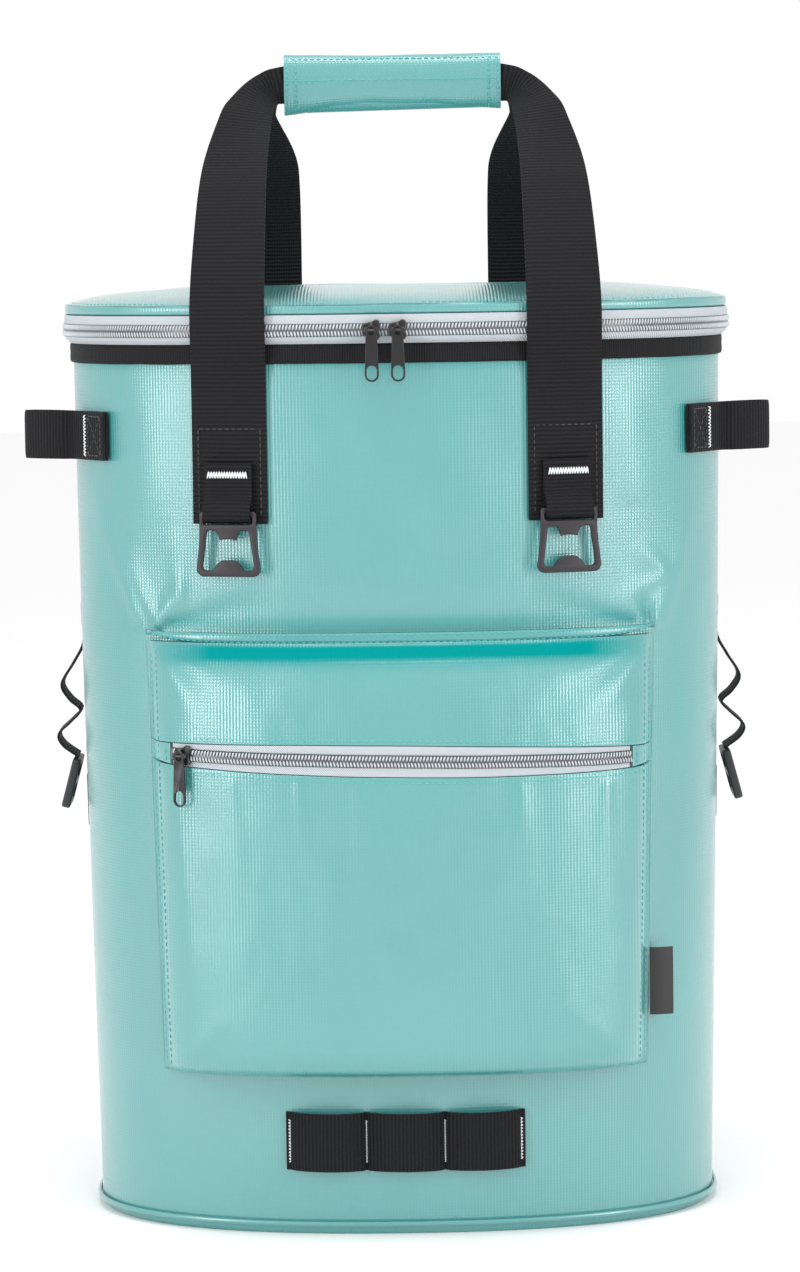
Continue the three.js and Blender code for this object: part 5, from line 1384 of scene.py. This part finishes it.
def build_tabs():
    sewn_x, edge_x, centre_z, width = 147, 163, 409, 25
    thickness, loop_gap, lean, reach = 1.6, 7, 20, 193
    route = [(0, 0), (0.12, 0), (0.34, 0), (0.5, 0.65), (0.7, 1), (0.88, 0.95), (0.97, 0.6)]
    sewn = 0.34
    layer = (thickness + 0.3) / 2

    def front(x, offset):
        angle = -math.acos((x / body_size(centre_z)[0]) ** (FRONT_ROUNDNESS / 2))
        p = plan_point(angle, centre_z, offset)
        return Vector((p.x, p.y, 0))

    foot, edge = front(sewn_x, layer * 2 + 1.2), front(edge_x, layer * 2 + 1.5)
    tip = Vector((reach, edge.y + lean, 0))

    def place(along, apart, face):
        share = (along - sewn) / (1 - sewn)
        middle = foot.lerp(edge, along / sewn) if share <= 0 else edge.lerp(tip, share)
        run = edge - foot if share <= 0 else tip - edge
        across = Vector((-run.y, run.x, 0)).normalized()
        return middle + across * (face * (layer + apart * loop_gap / 2))

    there = [place(a, b, -1) for a, b in route]
    behind = [place(a, b, 1) for a, b in reversed(route)]
    half = width / 2
    for side, word in ((-1, "left"), (1, "right")):
        stations = []
        for p in there + [tip] + behind:
            stations.append([Vector((side * p.x, p.y, centre_z - half)), Vector((side * p.x, p.y, centre_z + half))])
        webbing("tab_" + word, stations, thickness, LOOP_WEBBING, ["side_tab_" + word], spacing=1.6)
        run = (edge - foot).normalized()
        out = Vector((run.y, -run.x, 0))
        spot = foot.lerp(edge, 0.62) + out * (layer + thickness / 2)
        flip = lambda p: Vector((side * p.x, p.y, p.z))
        centre = flip(spot + Vector((0, 0, centre_z)))
        bartack("white", centre, Vector((0, 0, 1)), flip(run), flip(out), 21, 2.3, 12, 0.33)
        corners = []
        for along, z in ((0.08, -10), (0.08, 10), (0.5, 10), (0.5, -10), (0.08, -10), (0.5, 10), (0.08, 10), (0.5, -10)):
            corners.append((flip(foot.lerp(edge, along) + out * (layer + thickness / 2)) + Vector((0, 0, centre_z + z)), flip(out)))
        for a, b in zip(corners, corners[1:]):
            stitch_line("black", [a, b])


def build_daisy():
    height, centre_z, thickness, bulge, end = 30, 49, 1.6, 6.2, 2.2
    tacks = [-59.6, -20.6, 19.5, 58.4]
    half = height / 2
    seat = 0.3 + thickness / 2
    stops = [(tacks[0] - end, 0)]
    for k, tack in enumerate(tacks):
        stops.append((tack, 0))
        if k + 1 < len(tacks):
            for share in (0.06, 0.12, 0.25, 0.5, 0.75, 0.88, 0.94):
                stops.append((tack + (tacks[k + 1] - tack) * share, bulge * math.sin(math.pi * share) ** 0.6))
    stops.append((tacks[-1] + end, 0))
    stations = []
    for x, out in stops:
        y = min(face_y(x, centre_z - half), face_y(x, centre_z), face_y(x, centre_z + half)) - seat - out
        stations.append([Vector((x, y, centre_z - half)), Vector((x, y, centre_z + half))])
    webbing("daisy_webbing", stations, thickness, LOOP_WEBBING, ["daisy_chain"], spacing=1.5)
    for x in tacks:
        y = min(face_y(x, centre_z - half), face_y(x, centre_z), face_y(x, centre_z + half)) - seat - thickness / 2
        bartack("white", Vector((x, y, centre_z)), Vector((0, 0, 1)), Vector((1, 0, 0)), Vector((0, -1, 0)), 22, 1.9, 13, 0.33)


def build_label():
    low, high = node_box("pocket_label")
    half = (high.z - low.z) / 2
    middle = (high.z + low.z) / 2
    thick = 1.0
    stations = []
    for share, dip in ((0, 0), (0.25, -0.15), (0.5, 0.1), (0.75, 0.9), (1.0, 2.0)):
        x = low.x + (high.x - low.x) * share
        y = low.y + thick * 0.7 + dip
        stations.append([Vector((x, y, middle - half)), Vector((x, y, middle + half))])
    webbing("label_tag", stations, thick, LABEL, ["pocket_label"], spacing=1.0)


# Back panel, shoulder pads, side webbing

def puffed(name, node, voxel, swell, material, channels=()):
    """Cushion blown up a little inside its cover, from the solid's own shape."""
    mesh = bpy.data.objects[node].data.copy()
    obj = bpy.data.objects.new(name, mesh)
    bpy.context.scene.collection.objects.link(obj)
    mesh.materials.clear()
    mesh.materials.append(material)
    remesh = obj.modifiers.new("voxels", "REMESH")
    remesh.mode = "VOXEL"
    remesh.voxel_size = voxel * MM
    settle(obj)
    rest = [v.co.copy() for v in obj.data.vertices]
    cloth = obj.modifiers.new("pressure", "CLOTH")
    cloth.settings.use_pressure = True
    cloth.settings.uniform_pressure_force = 4
    cloth.settings.effector_weights.gravity = 0
    cloth.settings.quality = 5
    cloth.point_cache.frame_start = 1
    cloth.point_cache.frame_end = 20
    for number in range(1, 21):
        bpy.context.scene.frame_set(number)
    settle(obj)
    bpy.context.scene.frame_set(1)
    cap = swell * MM
    for vertex, start in zip(obj.data.vertices, rest):
        move = vertex.co - start
        if move.length > cap:
            vertex.co = start + move.normalized() * cap
    smooth = obj.modifiers.new("finer", "SUBSURF")
    smooth.levels = 1
    smooth.render_levels = 1
    settle(obj)
    obj.data.shade_smooth()
    return obj


def settle(obj):
    """Applies what the modifiers make to the object's own mesh."""
    graph = bpy.context.evaluated_depsgraph_get()
    mesh = bpy.data.meshes.new_from_object(obj.evaluated_get(graph))
    obj.modifiers.clear()
    obj.data = mesh


PAD_CHANNEL = 3.0


def build_back():
    panel = puffed("back_pad", "back_panel", 5, 5, SPACER)
    low, high = node_box("back_panel")
    for vertex in panel.data.vertices:
        x, z = vertex.co.x / MM, vertex.co.z / MM
        near = min(abs(abs(x) - 26), abs(z - 150) + 4, abs(z - 260) + 4, abs(z - 350) + 4)
        outward = max(0, vertex.normal.y)
        vertex.co.y -= 2.6 * MM * outward * math.exp(-((near / 4.5) ** 2))
    dress(panel, ["back_panel"])
    for word in ("left", "right"):
        pad = puffed("strap_pad_" + word, "shoulder_pad_" + word, 4, 4, SPACER)
        dress(pad, ["shoulder_pad_" + word])


# Lower end of a pad and the place before it: out, behind and down as shares
PAD_END = (0.917, 0.97, 0.663)
PAD_BEFORE = (0.864, 1.08, 0.801)
PAD_TURN = 0.8
PAD_TOP, PAD_HANG = BODY_HEIGHT - 34, 166
# Side webbing: off the body as a share of its folds, up from the buckle to the pad, behind, turned
SIDE_ROUTE = [
    (-0.25, 1.22, 0.84, 0.35), (0.06, 1.31, 0.62, 0.6), (0.16, 1.24, 0.42, 0.85), (0.075, 1.1, 0.28, 1),
    (0.075, 0.91, 0.25, 1), (0.44, 0.745, 0.25, 1), (0.84, 0.58, 0.25, 1), (0.6, 0.46, 0.25, 1),
    (0.25, 0.373, 0.25, 1), (0.56, 0.284, 0.25, 1), (1, 0.18, 0.25, 1), (0.875, 0.09, 0.25, 1),
]
SIDE_FOLD = 16
SIDE_WEB, SIDE_WEB_Y = 25, 25
BUCKLE_WIDTH, BUCKLE_HEIGHT, BUCKLE_THICKNESS, BUCKLE_BAR = 33, 27, 4.5, 3.4
BUCKLE_DROP, BUCKLE_OUT, BUCKLE_TILT = 80.5, 10.5, 0.26


def side_x(y, z):
    wide, _, back = body_size(z)
    return wide * (1 - (y / back) ** BACK_ROUNDNESS) ** (1 / BACK_ROUNDNESS)


def build_sides():
    end, before = (
        Vector((out * HALF_WIDTH, behind * HALF_BACK, PAD_TOP - down * PAD_HANG)) for out, behind, down in (PAD_END, PAD_BEFORE)
    )
    along = end - before
    turn = PAD_TURN * math.pi / 2
    across = along.cross(Vector((math.sin(turn), math.cos(turn), 0))).normalized()
    edge_on = Vector((0, -1, 0))

    def edges(centre, direction):
        return [centre - direction * (SIDE_WEB / 2), centre + direction * (SIDE_WEB / 2)]

    buckle_z = end.z - BUCKLE_DROP
    buckle_x = side_x(SIDE_WEB_Y, buckle_z) + BUCKLE_OUT
    reach = BUCKLE_HEIGHT / 2 + 0.9
    foot = buckle_z + reach * math.cos(BUCKLE_TILT)
    web = [edges(end + along.normalized() * 0.6, across)]
    for off, up, behind, turned in SIDE_ROUTE:
        y = behind * HALF_BACK
        z = foot + (end.z - foot) * up
        x = side_x(y / 2 if behind < 0.6 else 0, z) + off * SIDE_FOLD
        web.append(edges(Vector((x, y, z)), across.lerp(edge_on, turned).normalized()))
    web.append(edges(Vector((buckle_x - math.sin(BUCKLE_TILT) * reach, SIDE_WEB_Y, foot)), edge_on))
    anchor = []
    for z in spread(buckle_z - 22.5, buckle_z + 4.5, 4):
        anchor.append([Vector((side_x(y, z) + 1.3, y, z)) for y in (SIDE_WEB_Y + SIDE_WEB / 2, SIDE_WEB_Y - SIDE_WEB / 2)])
    frame_half, frame_tall = BUCKLE_WIDTH / 2, BUCKLE_HEIGHT / 2
    slot_half, top = SIDE_WEB / 2 + 0.8, BUCKLE_HEIGHT / 2 - BUCKLE_BAR
    loops = [
        rounded_box(-frame_half, -frame_tall, frame_half, frame_tall, 3.4),
        rounded_box(-slot_half, BUCKLE_BAR / 2, slot_half, top, 1.2)[::-1],
        rounded_box(-slot_half, -top, slot_half, -BUCKLE_BAR / 2, 1.2)[::-1],
    ]
    for side, word in ((-1, "left"), (1, "right")):
        flip = lambda rows: [[Vector((side * p.x, p.y, p.z)) for p in pair] for pair in rows]
        webbing("side_strap_" + word, flip(web), LOOP_THICKNESS, LOOP_WEBBING, ["side_webbing_" + word], spacing=2)
        webbing("side_seat_" + word, flip(anchor), LOOP_THICKNESS, LOOP_WEBBING, ["side_anchor_" + word], spacing=2)
        mesh = plate_mesh(loops, BUCKLE_THICKNESS, 1.0)
        mesh.transform(Matrix.Rotation(math.pi / 2, 4, "Z"))
        place = Matrix.Translation(Vector((side * buckle_x, SIDE_WEB_Y, buckle_z)) * MM) @ Matrix.Rotation(-side * BUCKLE_TILT, 4, "Y")
        hard_piece("buckle_" + word, [mesh], place, BUCKLE, ["side_buckle_" + word])


# Stage

def area_light(name, place, target, width, height, power, colour=(1, 1, 1)):
    data = bpy.data.lights.new(name, "AREA")
    data.shape = "RECTANGLE"
    data.size = width
    data.size_y = height
    data.energy = power
    data.color = colour
    obj = bpy.data.objects.new(name, data)
    bpy.context.scene.collection.objects.link(obj)
    obj.location = place
    obj.rotation_euler = (Vector(target) - Vector(place)).to_track_quat("-Z", "Y").to_euler()


def build_stage():
    scene = bpy.context.scene
    scene.view_settings.view_transform = "Standard"
    world = bpy.data.worlds.new("studio")
    world.use_nodes = True
    background = world.node_tree.nodes["Background"]
    background.inputs["Color"].default_value = (1, 1, 1, 1)
    background.inputs["Strength"].default_value = 1.0
    scene.world = world
    size = 9.0
    mesh = bpy.data.meshes.new("floor")
    mesh.from_pydata([(-size, -size, 0), (size, -size, 0), (size, size, 0), (-size, size, 0)], [], [(0, 1, 2, 3)])
    mesh.materials.append(floor_paper())
    floor = bpy.data.objects.new("floor", mesh)
    scene.collection.objects.link(floor)
    area_light("softbox_left", (-1.5, -1.35, 0.75), (0, 0, 0.3), 0.32, 1.25, 14)
    area_light("softbox_right", (1.55, -1.3, 0.75), (0, 0, 0.3), 0.32, 1.25, 13)
    area_light("top", (0, -0.6, 2.3), (0, 0, 0.4), 1.4, 0.8, 18)

    camera = bpy.data.cameras.new("camera")
    camera.lens = CAMERA_LENS
    camera.sensor_width = 36
    obj = bpy.data.objects.new("camera", camera)
    scene.collection.objects.link(obj)
    obj.location = (0, -CAMERA_BACK * MM, CAMERA_HEIGHT * MM)
    look = Matrix.Rotation(math.pi / 2 - CAMERA_TILT, 3, "X") @ Matrix.Rotation(-CAMERA_ROLL, 3, "Z")
    obj.rotation_euler = look.to_euler()
    scene.camera = obj


build_stage()
build_body()
build_rim()
build_lid()
build_pocket()
build_sliders()
build_handle()
build_openers()
build_tabs()
build_daisy()
build_label()
build_sides()
build_back()
for colour, material in (("teal", TEAL_THREAD), ("black", BLACK_THREAD_AND_SLOT_SHADE), ("white", WHITE_THREAD)):
    capsules("stitching_" + colour, STITCHES[colour], material)
